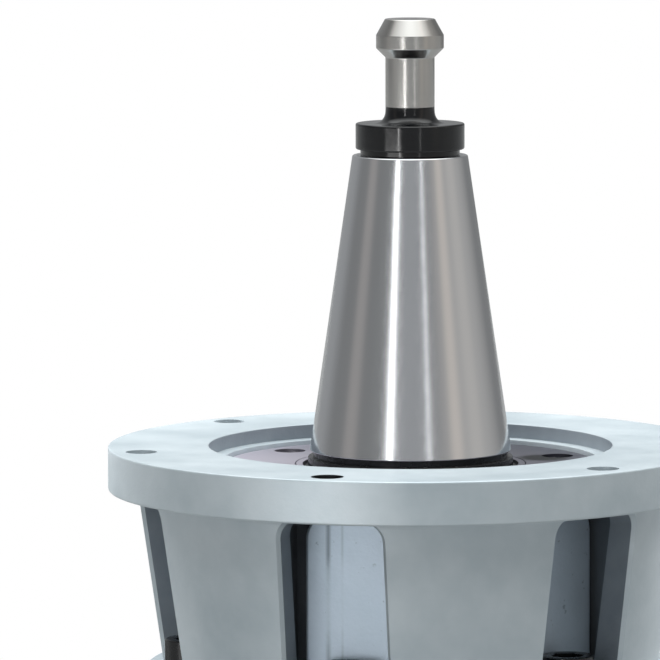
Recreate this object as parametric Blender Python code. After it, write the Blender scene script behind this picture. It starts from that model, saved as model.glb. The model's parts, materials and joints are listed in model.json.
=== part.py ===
# Angle milling head: a steep taper arbor stands in a flanged adapter, and below the
# adapter hangs a swivelling head that turns the drive through a pair of mitre gears.
# Metres, +Z up. The drive axis is Z and the part stands on its base at z = 0.
# The output spindle points towards -Y.

import math

import bmesh
import bpy
from mathutils import Matrix, Vector

# Clearances
seat_gap = 0.0003
roller_gap = 0.0007
nose_gap = 0.0008
screw_gap = 0.0005
overshoot = 0.010
small_overshoot = 0.0025
cone_edge_inset = 0.001
gear_tip_room = 0.0024

# Facets around a full turn
fine_facets = 36
bearing_facets = 24
screw_facets = 18
small_screw_facets = 12
small_facets = 8

# Mitre gears, both alike apart from bore and hub
tooth_count = 20
tooth_module = 0.004
tooth_face = 0.016
tooth_clearance = 0.001
pressure_angle = math.radians(20)
backlash = 0.0003
gear_hub_radius = 0.034
gear_dish_radius = 0.024
input_hub_length = 0.0017
output_hub_length = 0.0067

# Roller bearings: bore radius, outer radius and width
drive_bearing_bore = 0.0325
drive_bearing_outer = 0.050
drive_bearing_width = 0.023
lower_bearing_bore = 0.030
lower_bearing_outer = 0.0475
lower_bearing_width = 0.023
rear_bearing_bore = 0.020
rear_bearing_outer = 0.034
rear_bearing_width = 0.019
roller_count = 12
roller_slope = math.tan(math.radians(14))
cup_setback = 0.0045
rib_width = 0.0025

# Heights that the two halves share
output_axis_height = 0.085
swivel_above_axis = 0.095
adapter_height = 0.090

# Adapter: bolting flange, cone with pockets, lower flange and spigot
flange_radius = 0.105
flange_thickness = 0.015
edge_chamfer = 0.0008
bolt_edge_distance = 0.010
bolt_hole_radius = 0.0055
recess_radius = 0.070
recess_depth = 0.0049
cone_outside_clamps = 0.0168
cone_slope = 0.1425
cone_fillet = 0.003
lower_flange_edge = 0.014
lower_flange_thickness = 0.013
spigot_radius = 0.0577
spigot_length = 0.0057
spigot_wall = 0.0077
bearing_shoulder_lip = 0.006
bearing_shoulder_height = 0.006

# Pockets in the cone
pocket_count = 6
pocket_top_drop = 0.0005
window_half_width = 0.018
window_corner = 0.007
window_chamfer = 0.0015
window_wall_reach = 0.003
chamber_half_width = 0.022
chamber_behind_pad = 0.0085
chamber_top_drop = 0.0045
pad_half_width = 0.0158
pad_corner = 0.008
seat_sink = 0.0005

# Bearing retainer in the recess, with its seal
retainer_radius = 0.065
retainer_drop = 0.0015
retainer_thickness = 0.0077
retainer_lip_radius = 0.040
retainer_web = 0.0035
seal_stop_radius = 0.0375
spigot_ring_inner = 0.0476
retainer_screw_circle = 0.055
retainer_screw_turn = math.radians(7.6)
seal_height = 0.006

# Socket head screws: M12 clamps the swivel, M6 holds retainer and cover
clamp_outside_bearing = 0.028
clamp_screw_radius = 0.006
clamp_head_radius = 0.009
clamp_head_height = 0.012
clamp_key_half = 0.005
clamp_key_depth = 0.006
clamp_screw_length = 0.027
small_screw_radius = 0.003
small_head_radius = 0.005
small_head_height = 0.004
small_key_half = 0.002
small_key_depth = 0.0025
small_screw_length = 0.010
small_head_sink = 0.001

# T-slot in the head's top flange, and its nuts
slot_neck_half = 0.007
slot_neck_height = 0.008
slot_half = 0.012
slot_height = 0.0095
slot_floor = 0.005
port_half_width = 0.014
nut_neck_half = 0.006
nut_neck_length = 0.008
nut_half = 0.010
nut_half_length = 0.012
nut_height = 0.0085
nut_neck_height = 0.006

# Gear case
case_flange_edge = 0.006
barrel_radius = 0.066
barrel_fillet = 0.014
base_chamfer = 0.006
case_floor = 0.018
front_boss_radius = 0.064
rear_boss_radius = 0.050
rear_shoulder_lip = 0.006
web_radius = 0.043
gear_bore_back = 0.040
rear_web = 0.0037

# Input arbor: No. 50 taper, 7 in 24
taper_per_radius = 7 / 48
arbor_gauge_radius = 0.034925
arbor_gauge_drop = 0.0018
arbor_taper_length = 0.1026
arbor_collar_radius = 0.0356
arbor_groove_depth = 0.0012
arbor_groove_height = 0.0022
gear_seat_radius = 0.015
nut_thread_radius = 0.0125
stud_thread_radius = 0.012
stud_thread_length = 0.034
input_key_width = 0.008
input_key_height = 0.007
input_key_depth = 0.004
input_key_length = 0.012
input_key_lift = 0.001

# Pull stud
stud_flange_radius = 0.01885
stud_flange_height = 0.009
stud_flange_chamfer = 0.0007
stud_foot_radius = 0.0172
stud_foot_height = 0.0017
stud_fillet = 0.0045
stud_neck_radius = 0.0085
stud_neck_height = 0.0182
stud_knob_radius = 0.0117
stud_knob_height = 0.0045
stud_top_radius = 0.0086
stud_top_height = 0.0056

# Output spindle: No. 40 socket, 7 in 24
nose_length = 0.0187
nose_radius = 0.04445
socket_radius = 0.022225
socket_length = 0.068
draw_bore_radius = 0.0085
draw_head_radius = 0.012
draw_head_height = 0.016
draw_screw_radius = 0.008
draw_screw_length = 0.095
draw_key_half = 0.007
draw_key_depth = 0.009
drive_key_half = 0.00795
drive_key_reach = 0.008
drive_key_sink = 0.008
drive_key_inner = 0.0265
nose_hole_circle = 0.03335
nose_hole_radius = 0.007
nose_hole_depth = 0.013
sleeve_wall = 0.003

# Locknuts
input_nut_radius = 0.019
input_nut_width = 0.007
output_nut_radius = 0.029
output_nut_width = 0.009
nut_slot_count = 4
nut_slot_width = 0.006
nut_slot_depth = 0.0025
shaft_end_margin = 0.0027

# Covers and plug
cover_thickness = 0.0097
cover_step = 0.0023
cover_screw_circle = 0.057
cover_screw_count = 4
cap_radius = 0.040
cap_thickness = 0.006
cap_wall = 0.0035
cap_spigot_length = 0.006
cap_pin_radius = 0.003
cap_pin_circle = 0.028
cap_pin_depth = 0.004
plug_height = 0.030
plug_thread_radius = 0.006
plug_thread_length = 0.010
plug_head_radius = 0.010
plug_head_height = 0.005
plug_key_half = 0.003
plug_spot_depth = 0.0015

# Heights and stations that follow
swivel_height = output_axis_height + swivel_above_axis
flange_top = swivel_height + adapter_height
flange_bottom = flange_top - flange_thickness
lower_flange_top = swivel_height + lower_flange_thickness
pocket_floor = lower_flange_top - seat_sink
case_top = swivel_height - seat_gap

clamp_circle_radius = drive_bearing_outer + clamp_outside_bearing
cone_top_radius = clamp_circle_radius + cone_outside_clamps
bolt_circle_radius = flange_radius - bolt_edge_distance
lower_flange_radius = clamp_circle_radius + lower_flange_edge
window_wall_inner = clamp_circle_radius + window_wall_reach
pad_face = clamp_circle_radius - clamp_head_radius - screw_gap
chamber_inner = pad_face - chamber_behind_pad
case_flange_radius = clamp_circle_radius + slot_half + case_flange_edge

pitch_radius = tooth_count * tooth_module / 2
cone_angle = math.pi / 4
virtual_radius = pitch_radius / math.cos(cone_angle)
apex_distance = pitch_radius / math.sin(cone_angle)
inner_scale = (apex_distance - tooth_face) / apex_distance
hub_start = 2 * pitch_radius - gear_hub_radius
dish_height = 2 * pitch_radius * inner_scale - gear_dish_radius
gear_tip_radius = pitch_radius + tooth_module * math.cos(cone_angle)
gear_bore_radius = gear_tip_radius + gear_tip_room

recess_floor = flange_top - recess_depth
retainer_top = recess_floor - retainer_drop
retainer_bottom = retainer_top - retainer_thickness
retainer_shelf = retainer_bottom - seat_gap
retainer_underside = retainer_bottom - retainer_web
upper_bearing_top = retainer_underside - cup_setback / 2
cup_shoulder = upper_bearing_top - drive_bearing_width - seat_gap
collar_bottom = upper_bearing_top + seat_gap
gauge_height = flange_top - arbor_gauge_drop
arbor_end = gauge_height + arbor_taper_length
arbor_end_radius = arbor_gauge_radius - arbor_taper_length * taper_per_radius

input_hub_top = output_axis_height + hub_start + input_hub_length
lower_bearing_bottom = input_hub_top + seat_gap
lower_cup_back = lower_bearing_bottom + lower_bearing_width + seat_gap
input_gear_face = output_axis_height + dish_height
input_nut_top = input_gear_face - seat_gap
input_end = input_nut_top - input_nut_width - seat_gap

output_hub_back = hub_start + output_hub_length
front_cone_end = output_hub_back + seat_gap
front_cone_width = drive_bearing_width - cone_edge_inset
front_bearing_back = front_cone_end + front_cone_width
nose_back = front_bearing_back + seat_gap
nose_reach = nose_back + nose_length
front_cup_end = front_bearing_back - drive_bearing_width
front_shoulder = front_cup_end - seat_gap
cover_spigot_end = front_bearing_back - cup_setback + seat_gap
case_front = nose_back + seat_gap + cover_step
cover_back = case_front + seat_gap
cover_front = cover_back + cover_thickness

lower_bore_radius = lower_bearing_outer + seat_gap
rear_web_face = -(lower_bore_radius + rear_web)
rear_cup_face = rear_web_face - seat_gap
rear_bearing_back = rear_cup_face - rear_bearing_width
rear_cone_end = rear_bearing_back + rear_bearing_width - cone_edge_inset
output_nut_front = rear_bearing_back - seat_gap
output_end = output_nut_front - output_nut_width - shaft_end_margin
case_rear = output_end - shaft_end_margin - cap_spigot_length / 2
spindle_radius = rear_bearing_bore - seat_gap
socket_end_radius = socket_radius - socket_length * taper_per_radius
socket_end = nose_reach - socket_length


# Materials, with the colours of the photographed finish
def make_material(name, colour, roughness, metallic):
    material = bpy.data.materials.new(name)
    material.use_nodes = True
    shader = material.node_tree.nodes["Principled BSDF"]
    shader.inputs["Base Color"].default_value = (*colour, 1.0)
    shader.inputs["Roughness"].default_value = roughness
    shader.inputs["Metallic"].default_value = metallic
    return material


# Mesh helpers
def finish(name, mesh_data, material, parent=None, smooth_angle=30):
    bmesh.ops.remove_doubles(mesh_data, verts=mesh_data.verts, dist=1e-7)
    bmesh.ops.recalc_face_normals(mesh_data, faces=mesh_data.faces)
    mesh = bpy.data.meshes.new(name)
    mesh_data.to_mesh(mesh)
    mesh_data.free()
    mesh.shade_smooth()
    mesh.set_sharp_from_angle(angle=math.radians(smooth_angle))
    piece = bpy.data.objects.new(name, mesh)
    bpy.context.collection.objects.link(piece)
    if material:
        piece.data.materials.append(material)
    piece.parent = parent
    return piece


def spin_profile(mesh_data, profile, facets):
    # Turns a closed outline of (radius, height) points once around Z
    verts = [mesh_data.verts.new((radius, 0, height)) for radius, height in profile]
    edges = [mesh_data.edges.new((verts[i - 1], verts[i])) for i in range(len(verts))]
    bmesh.ops.spin(mesh_data, geom=verts + edges, cent=(0, 0, 0), axis=(0, 0, 1),
                   angle=2 * math.pi, steps=facets, use_merge=True)


def turned(name, profile, material, parent=None, facets=fine_facets):
    mesh_data = bmesh.new()
    spin_profile(mesh_data, profile, facets)
    return finish(name, mesh_data, material, parent)


def ring(radius, height, count=fine_facets):
    step = 2 * math.pi / count
    return [Vector((radius * math.cos(i * step), radius * math.sin(i * step), height))
            for i in range(count)]


def loft(name, rings, material, parent=None, hollow=False):
    # Skins a stack of closed rings; a hollow stack joins its last ring to its first
    mesh_data = bmesh.new()
    loops = []
    for points in rings:
        verts = [mesh_data.verts.new(point) for point in points]
        edges = [mesh_data.edges.new((verts[i - 1], verts[i])) for i in range(len(verts))]
        loops.append((verts, edges))
    pairs = list(zip(loops, loops[1:]))
    if hollow:
        pairs.append((loops[-1], loops[0]))
    for (lower, lower_edges), (upper, upper_edges) in pairs:
        count = len(lower)
        if count == len(upper):
            for i in range(count):
                mesh_data.faces.new((lower[i - 1], lower[i], upper[i], upper[i - 1]))
        elif abs(lower[0].co.z - upper[0].co.z) < 1e-9:
            # A flat face between a fine ring and the coarser one inside it
            share = count // len(upper)
            for i in range(len(upper)):
                arc = [lower[(i * share + k) % count] for k in range(share + 1)]
                mesh_data.faces.new(arc + [upper[(i + 1) % len(upper)], upper[i]])
        else:
            bmesh.ops.bridge_loops(mesh_data, edges=lower_edges + upper_edges)
    if not hollow:
        mesh_data.faces.new(loops[0][0])
        mesh_data.faces.new(loops[-1][0])
    return finish(name, mesh_data, material, parent)


def add_cylinder(mesh_data, radius, low, high, centre=(0, 0), facets=screw_facets):
    place = Matrix.Translation((centre[0], centre[1], (low + high) / 2))
    bmesh.ops.create_cone(mesh_data, cap_ends=True, segments=facets, radius1=radius,
                          radius2=radius, depth=high - low, matrix=place)


def add_box(mesh_data, low, high, turn=0):
    size = [b - a for a, b in zip(low, high)]
    middle = Vector([(a + b) / 2 for a, b in zip(low, high)])
    place = (Matrix.Rotation(turn, 4, "Z") @ Matrix.Translation(middle)
             @ Matrix.Diagonal((*size, 1)))
    bmesh.ops.create_cube(mesh_data, size=1, matrix=place)


def make_cutter(name, mesh_data, parent=None):
    cutter = finish(name, mesh_data, None, parent)
    cutter.hide_render = True
    cutter.display_type = "WIRE"
    return cutter


def combine(piece, cutter, operation="DIFFERENCE", crossing=False):
    # A cutter whose own shapes cross each other needs the solver to say so
    step = piece.modifiers.new(cutter.name, "BOOLEAN")
    step.operation = operation
    step.solver = "EXACT"
    step.use_self = crossing
    step.object = cutter


def spread(count, start=0.0):
    return [start + 2 * math.pi * i / count for i in range(count)]


def on_circle(radius, angle):
    # Angles run from the front of the head, -Y, towards +X
    return (radius * math.sin(angle), -radius * math.cos(angle))


def socket_screw(name, head_radius, head_height, key_half, key_depth, radius, length,
                 facets, material, parent=None):
    # A socket head screw along Z, with the underside of its head at its origin
    chamfer = head_radius * 0.08
    rings = [
        ring(radius, -length, facets),
        ring(radius, 0, facets),
        ring(head_radius, 0, facets),
        ring(head_radius, head_height - chamfer, facets),
        ring(head_radius - chamfer, head_height, facets),
        ring(key_half / math.cos(math.pi / 6), head_height, 6),
        ring(key_half / math.cos(math.pi / 6), head_height - key_depth, 6),
    ]
    return loft(name, rings, material, parent)


def roller_ring(crest, valley, height):
    per_roller = bearing_facets // roller_count
    points = ring(1.0, 0, bearing_facets)
    radii = [valley if i % per_roller else crest for i in range(bearing_facets)]
    return [Vector((p.x * r, p.y * r, height)) for p, r in zip(points, radii)]


def tapered_bearing(label, bore, outer, width, back, direction, cup_parent, cone_parent):
    # The inner ring carries its rollers; its back face lies at the height given,
    # and the outer ring's back face lies one width further along the direction
    section = outer - bore
    crest_middle = bore + 0.70 * section
    rib = bore + 0.62 * section
    cone_end = width - cone_edge_inset

    def crest(station):
        return crest_middle - (station - width / 2) * roller_slope

    def height(station):
        return back + direction * station

    valley_drop = 0.12 * section
    rings = [
        ring(bore, height(0), bearing_facets),
        ring(rib, height(0), bearing_facets),
        ring(rib, height(rib_width), bearing_facets),
        roller_ring(crest(rib_width), crest(rib_width) - valley_drop, height(rib_width)),
        roller_ring(crest(cone_end), crest(cone_end) - valley_drop, height(cone_end)),
        ring(bore, height(cone_end), bearing_facets),
    ]
    loft(label + "_bearing_cone", rings, roller_steel, cone_parent, hollow=True)
    cup_profile = [
        (outer, height(cup_setback)),
        (outer, height(width)),
        (crest(width) + roller_gap, height(width)),
        (crest(cup_setback) + roller_gap, height(cup_setback)),
    ]
    turned(label + "_bearing_cup", cup_profile, roller_steel, cup_parent, bearing_facets)


def involute(angle):
    return math.tan(angle) - angle


def tooth_half_angle(radius):
    base_radius = virtual_radius * math.cos(pressure_angle)
    teeth = tooth_count / math.cos(cone_angle)
    angle = math.acos(min(1.0, base_radius / radius))
    half = math.pi / (2 * teeth) + involute(pressure_angle) - involute(angle)
    return half - backlash / (2 * radius)


def tooth_outline(scale, first_tooth):
    # Straight bevel teeth: involute flanks drawn on the back cone and then
    # shrunk towards the apex, which is the local origin
    addendum = tooth_module
    dedendum = tooth_module + tooth_clearance
    stations = (-dedendum, 0, addendum)
    sides = [(rise, -1) for rise in stations] + [(rise, 1) for rise in reversed(stations)]
    points = []
    for middle in spread(tooth_count, first_tooth):
        for rise, side in sides:
            turn = tooth_half_angle(virtual_radius + rise) / math.cos(cone_angle)
            radius = pitch_radius + rise * math.cos(cone_angle)
            height = pitch_radius - rise * math.sin(cone_angle)
            angle = middle + side * turn
            points.append(scale * Vector((radius * math.cos(angle),
                                          radius * math.sin(angle), height)))
    return points


def mitre_gear(name, bore, hub_length, first_tooth, parent):
    hub_back = hub_start + hub_length
    rings = [
        tooth_outline(1.0, first_tooth),
        ring(gear_hub_radius, hub_start, bearing_facets),
        ring(gear_hub_radius, hub_back, bearing_facets),
        ring(bore, hub_back, bearing_facets),
        ring(bore, dish_height, bearing_facets),
        ring(gear_dish_radius, dish_height, bearing_facets),
        tooth_outline(inner_scale, first_tooth),
    ]
    return loft(name, rings, gear_steel, parent, hollow=True)


def locknut(name, bore, radius, low, high, parent):
    # A round nut with spanner slots in its rim
    nut = turned(name, [(bore, low), (radius, low), (radius, high), (bore, high)],
                 black_steel, parent, bearing_facets)
    slots = bmesh.new()
    for angle in spread(nut_slot_count, math.pi / bearing_facets):
        add_box(slots, (radius - nut_slot_depth, -nut_slot_width / 2, low - overshoot),
                (radius + overshoot, nut_slot_width / 2, high + overshoot), angle)
    combine(nut, make_cutter(name + "_slots", slots, parent))


def tapped_depth(plate):
    # Depth below a screwed plate that its small screws need
    return small_screw_length - (plate - small_head_height - small_head_sink) + 2 * screw_gap


# Adapter
def cone_radius(height):
    return cone_top_radius - (flange_bottom - height) * cone_slope


def arch_outline(half_width, corner, low, high, steps=3):
    # Half width and height points of an upright opening with round upper corners
    points = [(-half_width, low), (half_width, low)]
    for side, start in ((1, 0), (-1, math.pi / 2)):
        for step in range(steps + 1):
            angle = start + step * math.pi / 2 / steps
            points.append((side * (half_width - corner) + corner * math.cos(angle),
                           high - corner + corner * math.sin(angle)))
    return points


def add_arch_prism(mesh_data, stations, low, high, corner, turn):
    # Stations give half width and distance from the axis; a distance may lean with height
    spin = Matrix.Rotation(turn, 3, "Z")
    loops = []
    for half_width, distance in stations:
        loop = []
        for across, height in arch_outline(half_width, corner, low, high):
            loop.append(mesh_data.verts.new(spin @ Vector((across, -distance(height), height))))
        loops.append(loop)
    for near, far in zip(loops, loops[1:]):
        for i in range(len(near)):
            mesh_data.faces.new((near[i - 1], near[i], far[i], far[i - 1]))
    mesh_data.faces.new(loops[0])
    mesh_data.faces.new(loops[-1])


def window_edge(height):
    # Distance from the axis of the window's side edge, where the cone cuts it
    return math.sqrt(cone_radius(height) ** 2 - window_half_width ** 2)


def make_adapter_body():
    shoulder_radius = drive_bearing_outer + seat_gap - bearing_shoulder_lip
    bearing_bore = drive_bearing_outer + seat_gap
    spigot_end = swivel_height - spigot_length
    fillet_start = cone_radius(flange_bottom) + cone_fillet
    fillet_middle = cone_fillet * (1 - math.sqrt(0.5))
    profile = [
        (recess_radius, flange_top),
        (flange_radius - edge_chamfer, flange_top),
        (flange_radius, flange_top - edge_chamfer),
        (flange_radius, flange_bottom + edge_chamfer),
        (flange_radius - edge_chamfer, flange_bottom),
        (fillet_start, flange_bottom),
        (fillet_start - cone_fillet + fillet_middle, flange_bottom - fillet_middle),
        (cone_radius(flange_bottom - cone_fillet), flange_bottom - cone_fillet),
        (cone_radius(lower_flange_top), lower_flange_top),
        (lower_flange_radius - edge_chamfer, lower_flange_top),
        (lower_flange_radius, lower_flange_top - edge_chamfer),
        (lower_flange_radius, swivel_height),
        (spigot_radius, swivel_height),
        (spigot_radius, spigot_end),
        (spigot_radius - spigot_wall, spigot_end),
        (spigot_radius - spigot_wall, cup_shoulder - bearing_shoulder_height),
        (shoulder_radius, cup_shoulder - bearing_shoulder_height),
        (shoulder_radius, cup_shoulder),
        (bearing_bore, cup_shoulder),
        (bearing_bore, retainer_shelf),
        (retainer_radius, retainer_shelf),
        (retainer_radius, recess_floor),
        (recess_radius, recess_floor),
    ]
    body = turned("adapter_body", profile, grey_paint)

    chambers = bmesh.new()
    windows = bmesh.new()
    pads = bmesh.new()
    holes = bmesh.new()
    chamber_top = flange_bottom - chamber_top_drop
    window_top = flange_bottom - pocket_top_drop
    for angle in spread(pocket_count):
        add_box(chambers, (-chamber_half_width, -window_wall_inner, pocket_floor),
                (chamber_half_width, -chamber_inner, chamber_top), angle)
        stations = [
            (window_half_width, lambda height: window_wall_inner - small_overshoot),
            (window_half_width, lambda height: window_edge(height) - window_chamfer),
            (window_half_width + overshoot, lambda height: window_edge(height)
             - window_chamfer + overshoot),
        ]
        add_arch_prism(windows, stations, pocket_floor, window_top, window_corner, angle)
        stations = [
            (pad_half_width, lambda height: chamber_inner - small_overshoot),
            (pad_half_width, lambda height: pad_face),
        ]
        pad_low = pocket_floor - small_overshoot
        pad_high = chamber_top + overshoot / 20
        add_arch_prism(pads, stations, pad_low, pad_high, pad_corner, angle)
        add_cylinder(holes, bolt_hole_radius, flange_bottom - overshoot / 2,
                     flange_top + overshoot, on_circle(bolt_circle_radius, angle), 12)
        add_cylinder(holes, clamp_screw_radius + screw_gap * 2, swivel_height - overshoot,
                     pocket_floor + overshoot, on_circle(clamp_circle_radius, angle),
                     small_facets)
        tapped = on_circle(retainer_screw_circle, angle + retainer_screw_turn)
        add_cylinder(holes, small_screw_radius + screw_gap,
                     retainer_shelf - tapped_depth(retainer_thickness),
                     retainer_shelf + overshoot, tapped, small_facets)
    combine(body, make_cutter("pocket_chambers", chambers))
    combine(body, make_cutter("pocket_windows", windows))
    combine(body, make_cutter("pocket_pads", pads), "UNION")
    combine(body, make_cutter("adapter_holes", holes))


def make_retainer():
    outer = retainer_radius - seat_gap
    ring_outer = drive_bearing_outer
    ring_end = upper_bearing_top - cup_setback + seat_gap
    profile = [
        (outer, retainer_bottom),
        (outer, retainer_top - edge_chamfer / 2),
        (outer - edge_chamfer / 2, retainer_top),
        (retainer_lip_radius, retainer_top),
        (retainer_lip_radius, retainer_bottom),
        (seal_stop_radius, retainer_bottom),
        (seal_stop_radius, retainer_underside),
        (spigot_ring_inner, retainer_underside),
        (spigot_ring_inner, ring_end),
        (ring_outer, ring_end),
        (ring_outer, retainer_bottom),
    ]
    retainer = turned("bearing_retainer", profile, ground_steel)
    holes = bmesh.new()
    seat = retainer_top - small_head_height - small_head_sink
    for angle in spread(pocket_count, retainer_screw_turn):
        centre = on_circle(retainer_screw_circle, angle)
        add_cylinder(holes, small_head_radius + screw_gap, seat, retainer_top + overshoot,
                     centre, 12)
        add_cylinder(holes, small_screw_radius + screw_gap, retainer_bottom - small_overshoot,
                     seat + small_overshoot, centre, small_facets)
    combine(retainer, make_cutter("retainer_holes", holes), crossing=True)
    for number, angle in enumerate(spread(pocket_count, retainer_screw_turn), 1):
        screw = socket_screw(f"retainer_screw_{number}", small_head_radius,
                             small_head_height - seat_gap, small_key_half, small_key_depth,
                             small_screw_radius, small_screw_length,
                             small_screw_facets, black_steel)
        screw.location = (*on_circle(retainer_screw_circle, angle), seat + seat_gap)
    seal_outer = retainer_lip_radius - seat_gap
    seal_inner = arbor_collar_radius + seat_gap
    seal_low = retainer_bottom + seat_gap
    turned("input_seal", [(seal_outer, seal_low), (seal_outer, seal_low + seal_height),
                          (seal_inner, seal_low + seal_height),
                          (seal_inner, seal_low)], black_rubber)


def make_clamps():
    nut_high = case_top - slot_neck_height - seat_gap
    for number, angle in enumerate(spread(pocket_count), 1):
        screw = socket_screw(f"clamp_screw_{number}", clamp_head_radius, clamp_head_height,
                             clamp_key_half, clamp_key_depth, clamp_screw_radius,
                             clamp_screw_length, screw_facets, black_steel)
        x, y = on_circle(clamp_circle_radius, angle)
        screw.location = (x, y, pocket_floor + seat_gap)
        nut_mesh = bmesh.new()
        add_box(nut_mesh, (-nut_half_length, -nut_half, -nut_height),
                (nut_half_length, nut_half, 0))
        nut = finish(f"t_nut_{number}", nut_mesh, black_steel)
        neck_mesh = bmesh.new()
        add_box(neck_mesh, (-nut_neck_length, -nut_neck_half, -nut_height / 2),
                (nut_neck_length, nut_neck_half, nut_neck_height))
        combine(nut, make_cutter(f"t_nut_neck_{number}", neck_mesh, nut), "UNION")
        hole_mesh = bmesh.new()
        add_cylinder(hole_mesh, clamp_screw_radius + screw_gap * 2, -nut_height - overshoot,
                     nut_neck_height + overshoot, (0, 0), small_facets)
        combine(nut, make_cutter(f"t_nut_hole_{number}", hole_mesh, nut))
        nut.location = (x, y, nut_high)
        nut.rotation_euler = (0, 0, angle)


# Head
def make_gear_case(head):
    slot_top = case_top - slot_neck_height
    slot_bottom = slot_top - slot_height
    flange_low = slot_bottom - slot_floor
    fillet_centre = flange_low - barrel_fillet
    profile = [
        (0, case_top),
        (clamp_circle_radius - slot_neck_half, case_top),
        (clamp_circle_radius - slot_neck_half, slot_top),
        (clamp_circle_radius - slot_half, slot_top),
        (clamp_circle_radius - slot_half, slot_bottom),
        (clamp_circle_radius + slot_half, slot_bottom),
        (clamp_circle_radius + slot_half, slot_top),
        (clamp_circle_radius + slot_neck_half, slot_top),
        (clamp_circle_radius + slot_neck_half, case_top),
        (case_flange_radius - edge_chamfer, case_top),
        (case_flange_radius, case_top - edge_chamfer),
        (case_flange_radius, flange_low),
    ]
    for step in range(3):
        angle = math.pi / 2 + step * math.pi / 4
        profile.append((barrel_radius + barrel_fillet + barrel_fillet * math.cos(angle),
                        fillet_centre + barrel_fillet * math.sin(angle)))
    profile += [
        (barrel_radius, base_chamfer),
        (barrel_radius - base_chamfer, 0),
        (0, 0),
    ]
    case = turned("gear_case", profile, grey_paint, head)

    bosses = bmesh.new()
    boss_profile = [
        (0, case_front),
        (front_boss_radius, case_front),
        (front_boss_radius, 0),
        (rear_boss_radius, 0),
        (rear_boss_radius, case_rear),
        (0, case_rear),
    ]
    spin_profile(bosses, boss_profile, fine_facets)
    combine(case, make_cutter("case_bosses", bosses, output_axis), "UNION")

    shaft_bore = bmesh.new()
    bore_profile = [
        (0, case_floor),
        (lower_bore_radius, case_floor),
        (lower_bore_radius, lower_cup_back),
        (web_radius, lower_cup_back),
        (web_radius, case_top - spigot_length - seat_gap),
        (spigot_radius + seat_gap, case_top - spigot_length - seat_gap),
        (spigot_radius + seat_gap, case_top + overshoot),
        (0, case_top + overshoot),
    ]
    spin_profile(shaft_bore, bore_profile, fine_facets)
    combine(case, make_cutter("case_shaft_bore", shaft_bore, head))

    spindle_bore = bmesh.new()
    front_bore = drive_bearing_outer + seat_gap
    rear_bore = rear_bearing_outer + seat_gap
    bore_profile = [
        (0, case_front + overshoot),
        (front_bore, case_front + overshoot),
        (front_bore, front_shoulder),
        (gear_bore_radius, front_shoulder),
        (gear_bore_radius, -gear_bore_back),
        (rear_bore - rear_shoulder_lip, -gear_bore_back),
        (rear_bore - rear_shoulder_lip, rear_web_face),
        (rear_bore, rear_web_face),
        (rear_bore, case_rear - overshoot),
        (0, case_rear - overshoot),
    ]
    spin_profile(spindle_bore, bore_profile, fine_facets)
    for angle in spread(cover_screw_count, math.pi / cover_screw_count):
        centre = on_circle(cover_screw_circle, angle)
        add_cylinder(spindle_bore, small_screw_radius + screw_gap,
                     case_front - tapped_depth(cover_thickness), case_front + overshoot,
                     centre, small_facets)
    combine(case, make_cutter("case_spindle_bore", spindle_bore, output_axis))

    fittings = bmesh.new()
    add_box(fittings, (clamp_circle_radius - slot_half, -port_half_width,
                       slot_top - small_overshoot),
            (clamp_circle_radius + slot_half, port_half_width, case_top + overshoot))
    spot = barrel_radius - plug_spot_depth
    plug_place = Matrix.Translation((0, 0, plug_height)) @ Matrix.Rotation(math.pi / 2, 4, "Y")
    plug_cut = bmesh.new()
    add_cylinder(plug_cut, plug_thread_radius + seat_gap, lower_bore_radius - overshoot / 2,
                 spot + small_overshoot, (0, 0), 12)
    combine(case, make_cutter("nut_port", fittings, head))
    plug_hole = make_cutter("plug_hole", plug_cut)
    plug_hole.matrix_world = plug_place
    combine(case, plug_hole)
    spot_cut = bmesh.new()
    add_cylinder(spot_cut, plug_head_radius + screw_gap, spot, spot + overshoot, (0, 0), 16)
    plug_face = make_cutter("plug_face", spot_cut)
    plug_face.matrix_world = plug_place
    combine(case, plug_face)
    plug = socket_screw("oil_plug", plug_head_radius, plug_head_height, plug_key_half,
                        plug_head_height / 2, plug_thread_radius, plug_thread_length,
                        small_screw_facets, black_steel, head)
    plug.location = (spot + seat_gap, 0, plug_height)
    plug.rotation_euler = (0, math.pi / 2, 0)


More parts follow.
